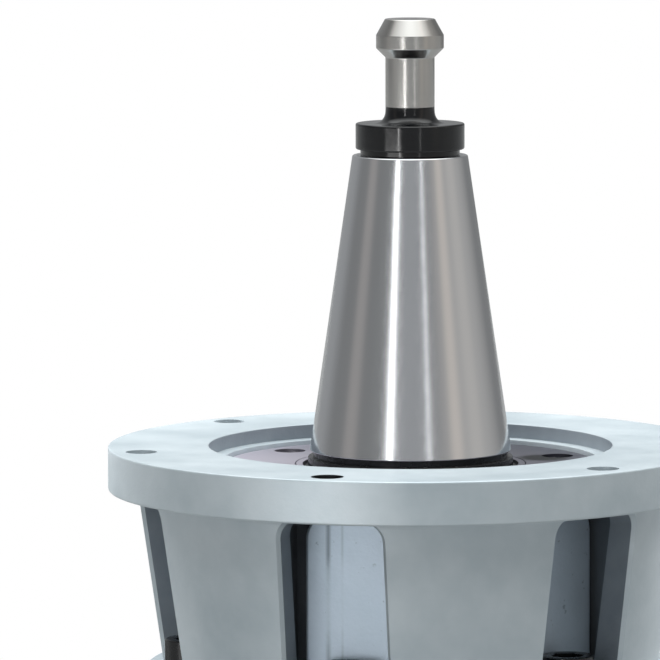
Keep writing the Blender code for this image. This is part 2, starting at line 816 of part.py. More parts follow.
def make_covers():
    outer = drive_bearing_outer
    inner = nose_radius + nose_gap
    profile = [
        (front_boss_radius, cover_back),
        (front_boss_radius, cover_front - edge_chamfer),
        (front_boss_radius - edge_chamfer, cover_front),
        (inner, cover_front),
        (inner, nose_back + nose_gap),
        (spigot_ring_inner, nose_back + nose_gap),
        (spigot_ring_inner, cover_spigot_end),
        (outer, cover_spigot_end),
        (outer, cover_back),
    ]
    cover = turned("front_cover", profile, grey_paint, output_axis)
    holes = bmesh.new()
    seat = cover_front - small_head_height - small_head_sink
    angles = spread(cover_screw_count, math.pi / cover_screw_count)
    for angle in angles:
        centre = on_circle(cover_screw_circle, angle)
        add_cylinder(holes, small_head_radius + screw_gap, seat, cover_front + overshoot,
                     centre, 12)
        add_cylinder(holes, small_screw_radius + screw_gap, cover_back - small_overshoot,
                     seat + small_overshoot, centre, small_facets)
    combine(cover, make_cutter("cover_holes", holes, output_axis), crossing=True)
    for number, angle in enumerate(angles, 1):
        screw = socket_screw(f"cover_screw_{number}", small_head_radius,
                             small_head_height - seat_gap, small_key_half, small_key_depth,
                             small_screw_radius, small_screw_length,
                             small_screw_facets, black_steel, output_axis)
        screw.location = (*on_circle(cover_screw_circle, angle), seat + seat_gap)

    cap_face = case_rear - seat_gap
    cap_outer = rear_bearing_outer
    cap_end = case_rear + cap_spigot_length
    cap = turned("rear_cap", [
        (0, cap_face - cap_thickness),
        (cap_radius - edge_chamfer, cap_face - cap_thickness),
        (cap_radius, cap_face - cap_thickness + edge_chamfer),
        (cap_radius, cap_face),
        (cap_outer, cap_face),
        (cap_outer, cap_end),
        (cap_outer - cap_wall, cap_end),
        (cap_outer - cap_wall, cap_face),
        (0, cap_face),
    ], grey_paint, output_axis)
    pins = bmesh.new()
    for angle in spread(2, math.pi / 2):
        add_cylinder(pins, cap_pin_radius, cap_face - cap_thickness - overshoot,
                     cap_face - cap_thickness + cap_pin_depth,
                     on_circle(cap_pin_circle, angle), small_facets)
    combine(cap, make_cutter("cap_pin_holes", pins, output_axis))


# Input shaft
def make_input_shaft():
    journal = drive_bearing_bore - seat_gap
    lower_journal = lower_bearing_bore - seat_gap
    gear_seat = gear_seat_radius - seat_gap
    nut_seat = nut_thread_radius - seat_gap
    step_height = lower_cup_back + seat_gap
    stud_bore = stud_thread_radius + seat_gap
    groove_bottom = gauge_height - arbor_groove_height
    groove_radius = arbor_gauge_radius - arbor_groove_depth
    arbor = turned("input_arbor", [
        (0, input_end),
        (nut_seat, input_end),
        (nut_seat, input_gear_face + seat_gap),
        (gear_seat, input_gear_face + seat_gap),
        (gear_seat, input_hub_top + seat_gap),
        (lower_journal, input_hub_top + seat_gap),
        (lower_journal, step_height),
        (journal, step_height),
        (journal, collar_bottom),
        (arbor_collar_radius, collar_bottom),
        (arbor_collar_radius, groove_bottom),
        (groove_radius, groove_bottom),
        (groove_radius, gauge_height),
        (arbor_gauge_radius, gauge_height),
        (arbor_end_radius, arbor_end),
        (stud_bore, arbor_end),
        (stud_bore, arbor_end - stud_thread_length - shaft_end_margin),
        (0, arbor_end - stud_thread_length - shaft_end_margin),
    ], ground_steel)
    key_low = input_gear_face + seat_gap + input_key_lift
    key_high = key_low + input_key_length
    slot = bmesh.new()
    add_box(slot, (gear_seat_radius - input_key_depth - seat_gap,
                   -input_key_width / 2 - seat_gap, key_low - seat_gap),
            (gear_seat_radius + overshoot / 2, input_key_width / 2 + seat_gap,
             key_high + seat_gap))
    combine(arbor, make_cutter("arbor_key_slot", slot))
    key = bmesh.new()
    add_box(key, (gear_seat_radius - input_key_depth, -input_key_width / 2, key_low),
            (gear_seat_radius - input_key_depth + input_key_height,
             input_key_width / 2, key_high))
    finish("input_key", key, black_steel)

    gear = mitre_gear("input_gear", gear_seat_radius, input_hub_length, -math.pi / 2, None)
    gear.location = (0, 0, output_axis_height)
    keyway = bmesh.new()
    add_box(keyway, (0, -input_key_width / 2 - seat_gap, dish_height - overshoot),
            (gear_seat_radius - input_key_depth + input_key_height + seat_gap,
             input_key_width / 2 + seat_gap, hub_start + input_hub_length + overshoot))
    combine(gear, make_cutter("gear_keyway", keyway, gear))
    locknut("input_locknut", nut_thread_radius, input_nut_radius,
            input_nut_top - input_nut_width, input_nut_top, None)

    base = arbor_end + seat_gap
    flange_low = base + stud_foot_height
    flange_high = flange_low + stud_flange_height
    neck_low = flange_high + stud_fillet
    knob_low = neck_low + stud_neck_height
    knob_high = knob_low + stud_knob_radius - stud_neck_radius + stud_knob_height
    profile = [
        (0, arbor_end - stud_thread_length),
        (stud_thread_radius, arbor_end - stud_thread_length),
        (stud_thread_radius, base),
        (stud_foot_radius, base),
        (stud_foot_radius, flange_low),
        (stud_flange_radius - stud_flange_chamfer, flange_low),
        (stud_flange_radius, flange_low + stud_flange_chamfer),
        (stud_flange_radius, flange_high - stud_flange_chamfer),
        (stud_flange_radius - stud_flange_chamfer, flange_high),
    ]
    for step in range(4):
        angle = -math.pi / 2 - step * math.pi / 6
        profile.append((stud_neck_radius + stud_fillet + stud_fillet * math.cos(angle),
                        neck_low + stud_fillet * math.sin(angle)))
    profile += [
        (stud_neck_radius, knob_low),
        (stud_knob_radius, knob_low + stud_knob_radius - stud_neck_radius),
        (stud_knob_radius, knob_high),
        (stud_top_radius, knob_high + stud_top_height),
        (0, knob_high + stud_top_height),
    ]
    turned("pull_stud", profile, ground_steel, facets=bearing_facets)


# Output shaft
def make_output_shaft():
    spindle = turned("output_spindle", [
        (socket_radius, nose_reach),
        (nose_radius - edge_chamfer, nose_reach),
        (nose_radius, nose_reach - edge_chamfer),
        (nose_radius, nose_back),
        (drive_bearing_bore - seat_gap, nose_back),
        (drive_bearing_bore - seat_gap, front_cone_end),
        (spindle_radius, front_cone_end),
        (spindle_radius, output_end),
        (draw_head_radius + seat_gap, output_end),
        (draw_head_radius + seat_gap, output_end + draw_head_height + seat_gap),
        (draw_bore_radius, output_end + draw_head_height + seat_gap),
        (draw_bore_radius, socket_end),
        (socket_end_radius, socket_end),
    ], ground_steel, output_axis)
    cuts = bmesh.new()
    key_back = nose_reach - drive_key_sink
    for turn in (0, math.pi):
        add_box(cuts, (drive_key_inner - seat_gap, -drive_key_half - seat_gap,
                       key_back - seat_gap),
                (nose_radius + overshoot, drive_key_half + seat_gap,
                 nose_reach + overshoot), turn)
    for angle in spread(4, math.pi / 4):
        add_cylinder(cuts, nose_hole_radius, nose_reach - nose_hole_depth,
                     nose_reach + overshoot, on_circle(nose_hole_circle, angle), 12)
    combine(spindle, make_cutter("nose_cuts", cuts, output_axis))
    for number, turn in enumerate((0, math.pi), 1):
        key = bmesh.new()
        add_box(key, (drive_key_inner, -drive_key_half, key_back),
                (nose_radius - edge_chamfer, drive_key_half,
                 nose_reach + drive_key_reach), turn)
        finish(f"drive_key_{number}", key, black_steel, output_axis)

    mitre_gear("output_gear", rear_bearing_bore, output_hub_length,
               math.pi / 2 + math.pi / tooth_count, output_axis)
    sleeve_outer = rear_bearing_bore + sleeve_wall
    turned("spacer_sleeve", [
        (rear_bearing_bore, rear_cone_end + seat_gap),
        (sleeve_outer, rear_cone_end + seat_gap),
        (sleeve_outer, dish_height - seat_gap),
        (rear_bearing_bore, dish_height - seat_gap),
    ], ground_steel, output_axis, bearing_facets)
    locknut("output_locknut", rear_bearing_bore, output_nut_radius,
            output_nut_front - output_nut_width, output_nut_front, output_axis)
    draw = socket_screw("draw_screw", draw_head_radius, draw_head_height, draw_key_half,
                        draw_key_depth, draw_screw_radius, draw_screw_length, screw_facets,
                        black_steel, output_axis)
    draw.location = (0, 0, output_end + draw_head_height)
    draw.rotation_euler = (math.pi, 0, 0)


for old in list(bpy.data.objects):
    bpy.data.objects.remove(old)

grey_paint = make_material("grey_paint", (0.42, 0.50, 0.54), 0.45, 0.0)
ground_steel = make_material("ground_steel", (0.50, 0.50, 0.49), 0.28, 1.0)
roller_steel = make_material("roller_steel", (0.62, 0.62, 0.63), 0.18, 1.0)
gear_steel = make_material("gear_steel", (0.40, 0.40, 0.42), 0.35, 1.0)
black_steel = make_material("black_steel", (0.02, 0.02, 0.022), 0.35, 0.6)
black_rubber = make_material("black_rubber", (0.015, 0.015, 0.016), 0.7, 0.0)

swivel_axis = bpy.data.objects.new("swivel_axis", None)
bpy.context.collection.objects.link(swivel_axis)
output_axis = bpy.data.objects.new("output_axis", None)
bpy.context.collection.objects.link(output_axis)
output_axis.location = (0, 0, output_axis_height)
output_axis.rotation_euler = (math.pi / 2, 0, 0)

make_adapter_body()
make_retainer()
make_clamps()
tapered_bearing("upper", drive_bearing_bore, drive_bearing_outer, drive_bearing_width,
                upper_bearing_top, -1, None, None)
make_gear_case(swivel_axis)
make_covers()
tapered_bearing("lower", lower_bearing_bore, lower_bearing_outer, lower_bearing_width,
                lower_bearing_bottom, 1, swivel_axis, None)
tapered_bearing("front", drive_bearing_bore, drive_bearing_outer, drive_bearing_width,
                front_bearing_back, -1, output_axis, output_axis)
tapered_bearing("rear", rear_bearing_bore, rear_bearing_outer, rear_bearing_width,
                rear_bearing_back, 1, output_axis, output_axis)
make_input_shaft()
make_output_shaft()
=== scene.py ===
import json
import math

import bmesh
import bpy
from mathutils import Matrix, Vector


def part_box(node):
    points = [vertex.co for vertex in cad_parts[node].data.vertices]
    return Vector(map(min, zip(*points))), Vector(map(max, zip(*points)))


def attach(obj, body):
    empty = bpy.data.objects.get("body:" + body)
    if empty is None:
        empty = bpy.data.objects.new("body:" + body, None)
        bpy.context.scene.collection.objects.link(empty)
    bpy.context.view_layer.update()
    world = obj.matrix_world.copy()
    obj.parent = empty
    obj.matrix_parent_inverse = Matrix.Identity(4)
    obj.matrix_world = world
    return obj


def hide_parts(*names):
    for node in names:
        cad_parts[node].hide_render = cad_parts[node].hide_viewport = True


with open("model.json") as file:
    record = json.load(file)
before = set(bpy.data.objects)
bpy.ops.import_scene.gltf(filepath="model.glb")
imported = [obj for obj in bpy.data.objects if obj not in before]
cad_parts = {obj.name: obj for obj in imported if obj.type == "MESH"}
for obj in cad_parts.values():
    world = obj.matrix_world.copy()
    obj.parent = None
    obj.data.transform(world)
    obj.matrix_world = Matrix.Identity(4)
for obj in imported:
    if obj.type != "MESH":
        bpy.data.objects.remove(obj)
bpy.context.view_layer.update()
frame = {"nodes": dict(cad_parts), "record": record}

# Colour and node helpers


def srgb(code):
    channels = [int(code[i:i + 2], 16) / 255 for i in (1, 3, 5)]
    return (*[c / 12.92 if c <= 0.04045 else ((c + 0.055) / 1.055) ** 2.4 for c in channels], 1.0)


def fillRamp(ramp, stops):
    while len(ramp.elements) < len(stops):
        ramp.elements.new(0.5)
    for element, (place, colour) in zip(ramp.elements, stops):
        element.position = place
        element.color = srgb(colour)


def feed(tree, node, **links):
    # A socket is named with spaces as underscores, or by _ and its number
    for key, value in links.items():
        socket = node.inputs[int(key[1:])] if key[0] == "_" else node.inputs[key.replace("_", " ")]
        if isinstance(value, bpy.types.Node):
            value = value.outputs[0]
        if isinstance(value, bpy.types.NodeSocket):
            tree.links.new(value, socket)
        else:
            socket.default_value = value


def addNode(tree, kind, settings=None, **links):
    node = tree.nodes.new(kind)
    for key, value in (settings or {}).items():
        if key == "stops":
            fillRamp(node.color_ramp, value)
        else:
            setattr(node, key, value)
    feed(tree, node, **links)
    return node


def newMaterial(name, colour, roughness, metallic=0.0, specular=0.5):
    material = bpy.data.materials.new(name)
    material.use_nodes = True
    tree = material.node_tree
    shader = tree.nodes["Principled BSDF"]
    feed(tree, shader, Base_Color=srgb(colour), Roughness=roughness, Metallic=metallic,
         Specular_IOR_Level=specular)
    return material, tree, shader


# Finishes

noiseLow, noiseHigh = 0.3, 0.7  # nearly all noise values lie between these

paint = {
    "colour": "#AFB9BF",
    "dark": "#A7B2B8",
    "light": "#B8C1C6",
    "padDark": "#A5B4C1",
    "padLight": "#B4C2CF",
    # Darker copies of the paint: painted shade for the walls, deeper painted shade for the pocket
    # chambers
    "wallDark": "#7D858D",
    "wallLight": "#8E969D",
    "chamberDark": "#5A6066",
    "chamberLight": "#6A7076",
    "roughness": 0.42,
    "smoothest": 0.38,
    "roughest": 0.47,
    "metallic": 0.35,
    "cloudScale": 28.0,  # clouds about 36 mm wide
    "darkEnd": 0.35,
    "lightEnd": 0.65,
    "grainScale": 900.0,  # cast grain of about 1 mm
    "grainStrength": 0.12,
    "grainDepth": 0.0004,
    "scuff": "#4E5A63",
    "scratches": [
        {"across": -0.0082, "width": 0.0012, "depth": 0.75},
        {"across": -0.0032, "width": 0.0007, "depth": 0.3},
    ],
    "wornScale": (40, 40, 60),  # worn stretches of the scratches are about 17 mm tall
    "wornLow": 0.35,
    "wornHigh": 0.55,
    "wornLeft": 0.2,
    "speckScale": 420.0,  # specks of about 2 mm
    "speckLow": 0.68,
    "speckHigh": 0.76,
    "speckDepth": 0.45,
}


def bodyGrey(name, dark, light):
    # Metallic grey paint on a casting: a soft sheen, faint clouds and a fine grain
    material, tree, shader = newMaterial(name, paint["colour"], paint["roughness"],
                                         paint["metallic"])
    point = addNode(tree, "ShaderNodeTexCoord").outputs["Object"]
    cloud = addNode(tree, "ShaderNodeTexNoise", Vector=point, Scale=paint["cloudScale"],
                    Detail=4.0, Roughness=0.6)
    grain = addNode(tree, "ShaderNodeTexNoise", Vector=point, Scale=paint["grainScale"],
                    Detail=2.0)
    stops = [(paint["darkEnd"], dark), (paint["lightEnd"], light)]
    tone = addNode(tree, "ShaderNodeValToRGB", {"stops": stops}, _0=cloud)
    rough = addNode(tree, "ShaderNodeMapRange", Value=cloud, From_Min=noiseLow,
                    From_Max=noiseHigh, To_Min=paint["smoothest"], To_Max=paint["roughest"])
    raised = addNode(tree, "ShaderNodeBump", Height=grain, Strength=paint["grainStrength"],
                     Distance=paint["grainDepth"])
    feed(tree, shader, Base_Color=tone, Roughness=rough, Normal=raised)
    return material


def scuffedPad():
    # Machined pads under the same paint: two thin upright scratches and a few dark specks
    material = bodyGrey("padGrey", paint["padDark"], paint["padLight"])
    tree = material.node_tree
    shader = tree.nodes["Principled BSDF"]
    plain = shader.inputs["Base Color"].links[0].from_socket
    point = addNode(tree, "ShaderNodeTexCoord").outputs["Object"]
    across = addNode(tree, "ShaderNodeSeparateXYZ", Vector=point)
    tall = addNode(tree, "ShaderNodeMapping", Vector=point, Scale=paint["wornScale"])
    patches = addNode(tree, "ShaderNodeTexNoise", Vector=tall, Scale=1.0, Detail=2.0)
    broken = addNode(tree, "ShaderNodeMapRange", Value=patches, From_Min=paint["wornLow"],
                     From_Max=paint["wornHigh"], To_Min=paint["wornLeft"])
    dots = addNode(tree, "ShaderNodeTexNoise", Vector=point, Scale=paint["speckScale"],
                   Detail=2.0)
    marks = addNode(tree, "ShaderNodeMapRange", Value=dots, From_Min=paint["speckLow"],
                    From_Max=paint["speckHigh"], To_Max=paint["speckDepth"])
    for scratch in paint["scratches"]:
        offset = addNode(tree, "ShaderNodeMath", {"operation": "SUBTRACT"}, _0=across,
                         _1=scratch["across"])
        away = addNode(tree, "ShaderNodeMath", {"operation": "ABSOLUTE"}, _0=offset)
        line = addNode(tree, "ShaderNodeMapRange", Value=away, From_Max=scratch["width"],
                       To_Min=scratch["depth"], To_Max=0.0)
        shown = addNode(tree, "ShaderNodeMath", {"operation": "MULTIPLY"}, _0=line, _1=broken)
        marks = addNode(tree, "ShaderNodeMath", {"operation": "MAXIMUM"}, _0=marks, _1=shown)
    tone = addNode(tree, "ShaderNodeMix", {"data_type": "RGBA"}, _0=marks, _6=plain,
                   _7=srgb(paint["scuff"]))
    feed(tree, shader, Base_Color=tone.outputs[2])
    return material


steel = {
    "ground": {"colour": "#D2D3D5", "roughness": 0.12, "strength": 0.004, "stretch": 0.95},
    "knob": {"colour": "#B4B2AF", "roughness": 0.16, "strength": 0.004, "stretch": 0.9},
    "plate": {"colour": "#98959F", "roughness": 0.36, "strength": 0.15, "stretch": 0.35},
    "bearing": {"colour": "#B8B8B8", "roughness": 0.2, "strength": 0.15, "stretch": 0.35},
    "gear": {"colour": "#909094", "roughness": 0.35, "strength": 0.15, "stretch": 0.35},
    # Dark steel for bores: painted shade inside holes
    "bore": {"colour": "#4A4D50", "roughness": 0.4, "strength": 0.05, "stretch": 0.35},
    "lines": 2600.0,  # lines about 0.4 mm apart, coarser than real ones so that they show
    "around": 3.0,
    "lineDepth": 0.00005,
    "smoothShare": 0.9,
    "roughShare": 1.15,
}


def turnedSteel(name, kind, axis="Z"):
    # Turned or ground steel: fine lines run round the axis and stretch the highlights along it
    look = steel[kind]
    roughness = look["roughness"]
    material, tree, shader = newMaterial(name, look["colour"], roughness, metallic=1.0)
    point = addNode(tree, "ShaderNodeTexCoord").outputs["Object"]
    scale = [steel["lines"] if letter == axis else steel["around"] for letter in "XYZ"]
    stretched = addNode(tree, "ShaderNodeMapping", Vector=point, Scale=scale)
    fine = addNode(tree, "ShaderNodeTexNoise", Vector=stretched, Scale=1.0, Detail=2.0)
    rough = addNode(tree, "ShaderNodeMapRange", Value=fine, From_Min=noiseLow,
                    From_Max=noiseHigh, To_Min=roughness * steel["smoothShare"],
                    To_Max=roughness * steel["roughShare"])
    raised = addNode(tree, "ShaderNodeBump", Height=fine, Strength=look["strength"],
                     Distance=steel["lineDepth"])
    tangent = addNode(tree, "ShaderNodeTangent", {"direction_type": "RADIAL", "axis": axis})
    feed(tree, shader, Roughness=rough, Normal=raised, Tangent=tangent,
         Anisotropic=look["stretch"])
    return material


# Retainer plate colours: painted reflection on the left (lit), painted shade on the right, and a
# near-black patch of painted shade
plate = {
    "lit": "#C9C4D0",
    "shadedTone": "#5C5C66",
    "across": (0.956, 0.292, 0),
    "reach": 0.062,
    "shadePatch": "#08080A",
    "shadePlace": (0.0402, 0.0265, 0),
    "shadeRadius": 0.0105,
    "shadeCore": 0.0063,
}


def shadePaintedPlate():
    # Turned steel with painted light and shade: a painted reflection makes it lighter on the left
    # and painted shade makes it darker on the right, with a near-black patch of painted shade
    material = turnedSteel("plateSteel", "plate")
    tree = material.node_tree
    point = addNode(tree, "ShaderNodeTexCoord").outputs["Object"]
    flat = addNode(tree, "ShaderNodeMapping", Vector=point, Scale=(1, 1, 0))
    across = addNode(tree, "ShaderNodeVectorMath", {"operation": "DOT_PRODUCT"}, _0=flat,
                     _1=plate["across"]).outputs["Value"]
    share = addNode(tree, "ShaderNodeMapRange", Value=across, From_Min=-plate["reach"],
                    From_Max=plate["reach"])
    stops = [(0.0, plate["lit"]), (0.45, steel["plate"]["colour"]), (0.95, plate["shadedTone"])]
    tone = addNode(tree, "ShaderNodeValToRGB", {"stops": stops}, _0=share)
    # A round near-black patch on the right is painted shade
    away = addNode(tree, "ShaderNodeVectorMath", {"operation": "DISTANCE"}, _0=flat,
                   _1=plate["shadePlace"]).outputs["Value"]
    shadePatch = addNode(tree, "ShaderNodeMapRange", Value=away, From_Min=plate["shadeRadius"],
                  From_Max=plate["shadeCore"])
    dark = addNode(tree, "ShaderNodeMix", {"data_type": "RGBA"}, _0=shadePatch, _6=tone,
                   _7=srgb(plate["shadePatch"]))
    feed(tree, tree.nodes["Principled BSDF"], Base_Color=dark.outputs[2])
    return material


rubberLook = {
    "colour": "#1A1A1B",
    "dark": "#151516",
    "light": "#202022",
    "roughness": 0.6,
    "smoothest": 0.52,
    "roughest": 0.68,
    "cloudScale": 420.0,  # cloudy patches of about 2 mm
}


def softRubber():
    # Moulded rubber: dull, with slightly uneven blackness
    look = rubberLook
    material, tree, shader = newMaterial("rubber", look["colour"], look["roughness"])
    point = addNode(tree, "ShaderNodeTexCoord").outputs["Object"]
    cloud = addNode(tree, "ShaderNodeTexNoise", Vector=point, Scale=look["cloudScale"],
                    Detail=3.0)
    stops = [(0.3, look["dark"]), (0.7, look["light"])]
    tone = addNode(tree, "ShaderNodeValToRGB", {"stops": stops}, _0=cloud)
    rough = addNode(tree, "ShaderNodeMapRange", Value=cloud, From_Min=noiseLow,
                    From_Max=noiseHigh, To_Min=look["smoothest"], To_Max=look["roughest"])
    feed(tree, shader, Base_Color=tone, Roughness=rough)
    return material


oxide = {
    "screw": {"colour": "#0E0F11", "roughness": 0.24, "relief": 0.1},
    "collar": {"colour": "#06070A", "roughness": 0.12, "relief": 0.01},
    "specular": 0.45,
    "cloudScale": 300.0,  # uneven patches of about 3 mm
    "depth": 0.0002,
    "smoothShare": 0.8,
    "roughShare": 1.3,
}


def blackOxide(name, kind):
    # Blackened steel: a thin dark oxide layer that still gives a sharp sheen
    look = oxide[kind]
    roughness = look["roughness"]
    material, tree, shader = newMaterial(name, look["colour"], roughness,
                                         specular=oxide["specular"])
    point = addNode(tree, "ShaderNodeTexCoord").outputs["Object"]
    cloud = addNode(tree, "ShaderNodeTexNoise", Vector=point, Scale=oxide["cloudScale"],
                    Detail=3.0)
    rough = addNode(tree, "ShaderNodeMapRange", Value=cloud, From_Min=noiseLow,
                    From_Max=noiseHigh, To_Min=roughness * oxide["smoothShare"],
                    To_Max=roughness * oxide["roughShare"])
    raised = addNode(tree, "ShaderNodeBump", Height=cloud, Strength=look["relief"],
                     Distance=oxide["depth"])
    feed(tree, shader, Roughness=rough, Normal=raised)
    return material


grey = bodyGrey("satinGrey", paint["dark"], paint["light"])
# Darker copies of the body paint are painted shade: on the walls, and deeper in the chambers
wallShadeGrey = bodyGrey("wallShadeGrey", paint["wallDark"], paint["wallLight"])
chamberShadeGrey = bodyGrey("chamberShadeGrey", paint["chamberDark"], paint["chamberLight"])
padGrey = scuffedPad()
groundSteel = turnedSteel("groundSteel", "ground")
plateSteel = shadePaintedPlate()
bearingSteel = turnedSteel("bearingSteel", "bearing")
gearSteel = turnedSteel("gearSteel", "gear")
blackSteel = blackOxide("blackOxide", "screw")
collarBlack = blackOxide("collarBlack", "collar")
brightSteel = turnedSteel("brightSteel", "knob")
boreShadeSteel = turnedSteel("boreShadeSteel", "bore")
spindleSteel = turnedSteel("spindleSteel", "ground", axis="Y")
socketShadeSteel = turnedSteel("socketShadeSteel", "bore", axis="Y")
rubber = softRubber()
print("finishes made")

# Mesh helpers

# Facets of a full turn, and small distances that many pieces share
full = {"facets": 192, "fine": 96, "hole": 48, "small": 24}
gap = 0.0003  # between two pieces that seat on each other
overcut = 0.01  # how far a cutter sticks out of a face
undercut = 0.0025  # how far it runs past a face inside the piece
hair = 0.0001  # tolerance when a face or a vertex is picked by its place
cornerShare = 0.45  # a rounding takes at most this share of the lines beside it
pieces = []


def finishMesh(name, meshData, materials, body, nodes, smoothAngle=28, place=None):
    # The place goes into the mesh, so every object stays at the origin
    if place is not None:
        bmesh.ops.transform(meshData, matrix=place, verts=meshData.verts)
    bmesh.ops.remove_doubles(meshData, verts=meshData.verts, dist=1e-7)
    bmesh.ops.recalc_face_normals(meshData, faces=meshData.faces)
    mesh = bpy.data.meshes.new(name)
    meshData.to_mesh(mesh)
    meshData.free()
    mesh.shade_smooth()
    mesh.set_sharp_from_angle(angle=math.radians(smoothAngle))
    piece = bpy.data.objects.new(name, mesh)
    bpy.context.collection.objects.link(piece)
    for material in materials:
        mesh.materials.append(material)
    if body:
        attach(piece, body)
        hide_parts(*nodes)
        pieces.append(piece)
    return piece


def spinProfile(meshData, profile, facets, place=None):
    verts = [meshData.verts.new((radius, 0, height)) for radius, height in profile]
    edges = [meshData.edges.new((verts[i - 1], verts[i])) for i in range(len(verts))]
    bmesh.ops.spin(meshData, geom=verts + edges, cent=(0, 0, 0), axis=(0, 0, 1),
                   angle=2 * math.pi, steps=facets, use_merge=True)
    bmesh.ops.remove_doubles(meshData, verts=meshData.verts, dist=1e-7)
    if place is not None:
        bmesh.ops.transform(meshData, matrix=place, verts=meshData.verts)


def rounded(profile, radii, steps=4):
    # Rounds those corners of a closed outline that have a radius, given by corner number
    points = []
    count = len(profile)
    for i in range(count):
        corner = Vector(profile[i])
        radius = radii.get(i, 0)
        before = Vector(profile[i - 1]) - corner
        after = Vector(profile[(i + 1) % count]) - corner
        if radius == 0:
            points.append(tuple(corner))
            continue
        reach = radius / math.tan(before.angle(after) / 2)
        reach = min(reach, cornerShare * before.length, cornerShare * after.length)
        start = corner + before.normalized() * reach
        end = corner + after.normalized() * reach
        for step in range(steps + 1):
            t = step / steps
            points.append(tuple((1 - t) ** 2 * start + 2 * t * (1 - t) * corner + t * t * end))
    return points


def addCylinder(meshData, radius, low, high, centre=(0, 0), facets=full["hole"]):
    place = Matrix.Translation((centre[0], centre[1], (low + high) / 2))
    bmesh.ops.create_cone(meshData, cap_ends=True, segments=facets, radius1=radius,
                          radius2=radius, depth=high - low, matrix=place)


def addBox(meshData, low, high, turn=0.0):
    size = [b - a for a, b in zip(low, high)]
    middle = Vector([(a + b) / 2 for a, b in zip(low, high)])
    place = (Matrix.Rotation(turn, 4, "Z") @ Matrix.Translation(middle)
             @ Matrix.Diagonal((*size, 1)))
    return bmesh.ops.create_cube(meshData, size=1, matrix=place)["verts"]


def onCircle(radius, angle):
    return radius * math.sin(angle), -radius * math.cos(angle)


def spread(count, start=0.0):
    return [start + 2 * math.pi * i / count for i in range(count)]


def cut(piece, meshData, operation="DIFFERENCE", selfCut=False, place=None):
    # Applies a Boolean at once and removes the cutter
    cutter = finishMesh(piece.name + "Cutter", meshData, [], None, [], place=place)
    step = piece.modifiers.new("cut", "BOOLEAN")
    step.operation = operation
    step.solver = "EXACT"
    step.use_self = selfCut
    step.object = cutter
    graph = bpy.context.evaluated_depsgraph_get()
    mesh = bpy.data.meshes.new_from_object(piece.evaluated_get(graph))
    piece.modifiers.clear()
    piece.data = mesh
    bpy.data.objects.remove(cutter)


def reshade(piece, smoothAngle=24):
    piece.data.shade_smooth()
    piece.data.set_sharp_from_angle(angle=math.radians(smoothAngle))


outputHeight = 0.085
towardsFront = Matrix.Translation((0, 0, outputHeight)) @ Matrix.Rotation(math.pi / 2, 4, "X")

# Screws: radius and height of the head, half width and depth of the key, shank, and holes

screws = {
    "small": {"head": 0.005, "headHeight": 0.0037, "key": 0.002, "keyDepth": 0.0025,
              "shank": 0.003, "length": 0.010, "counterbore": 0.0055, "hole": 0.0035},
    "clamp": {"head": 0.009, "headHeight": 0.012, "key": 0.005, "keyDepth": 0.006,
              "shank": 0.006, "length": 0.027, "hole": 0.007},
    "plug": {"head": 0.010, "headHeight": 0.005, "key": 0.003, "keyDepth": 0.0025,
             "shank": 0.006, "length": 0.010, "counterbore": 0.0105, "hole": 0.0063},
    "draw": {"head": 0.012, "headHeight": 0.016, "key": 0.007, "keyDepth": 0.009,
             "shank": 0.008, "length": 0.095},
    "edgeShare": 0.09,
    "tipShare": 0.8,
    "knurlDip": 0.00022,
    "keyRim": 0.0004,
    "keyCone": 0.4,
    "keyTip": 0.02,
}


def hexScrew(name, node, body, kind, place, knurl=False, facets=full["hole"]):
    # A socket head screw with a true hexagon, and knurling on a large head
    size = screws[kind]
    head, high, shank, key = size["head"], size["headHeight"], size["shank"], size["key"]
    length = size["length"]
    keyFloor = high - size["keyDepth"]
    keyEnd = keyFloor - key * screws["keyCone"]
    edge = head * screws["edgeShare"]
    tip = shank * screws["tipShare"]
    outline = [
        (0, -length),
        (tip, -length),
        (shank, shank - tip - length),
        (shank, 0),
        (head - edge * 0.3, 0),
        (head, edge * 0.4),
        (head, high - edge),
        (head - edge * 0.35, high - edge * 0.35),
        (head - edge, high),
        (key / math.cos(math.pi / 6) + screws["keyRim"], high),
        (key, high - gap),
        (key, keyFloor),
        (key * screws["keyTip"], keyEnd),
        (0, keyEnd),
    ]
    meshData = bmesh.new()
    spinProfile(meshData, outline, facets)
    for vert in meshData.verts:
        radius = math.hypot(vert.co.x, vert.co.y)
        angle = math.atan2(vert.co.y, vert.co.x)
        scale = 1.0
        if vert.co.z > 0 and radius < key + hair:
            sector = (angle + math.pi / 6) % (math.pi / 3) - math.pi / 6
            scale = 1 / math.cos(sector)
        elif knurl and radius > head - hair and round(angle * facets / (2 * math.pi)) % 2:
            scale = 1 - screws["knurlDip"] / radius
        vert.co.x *= scale
        vert.co.y *= scale
    finishMesh(name, meshData, [blackSteel], body, [node],
               smoothAngle=35, place=place)


# Adapter body: flange, cone with six pockets, lower flange and spigot

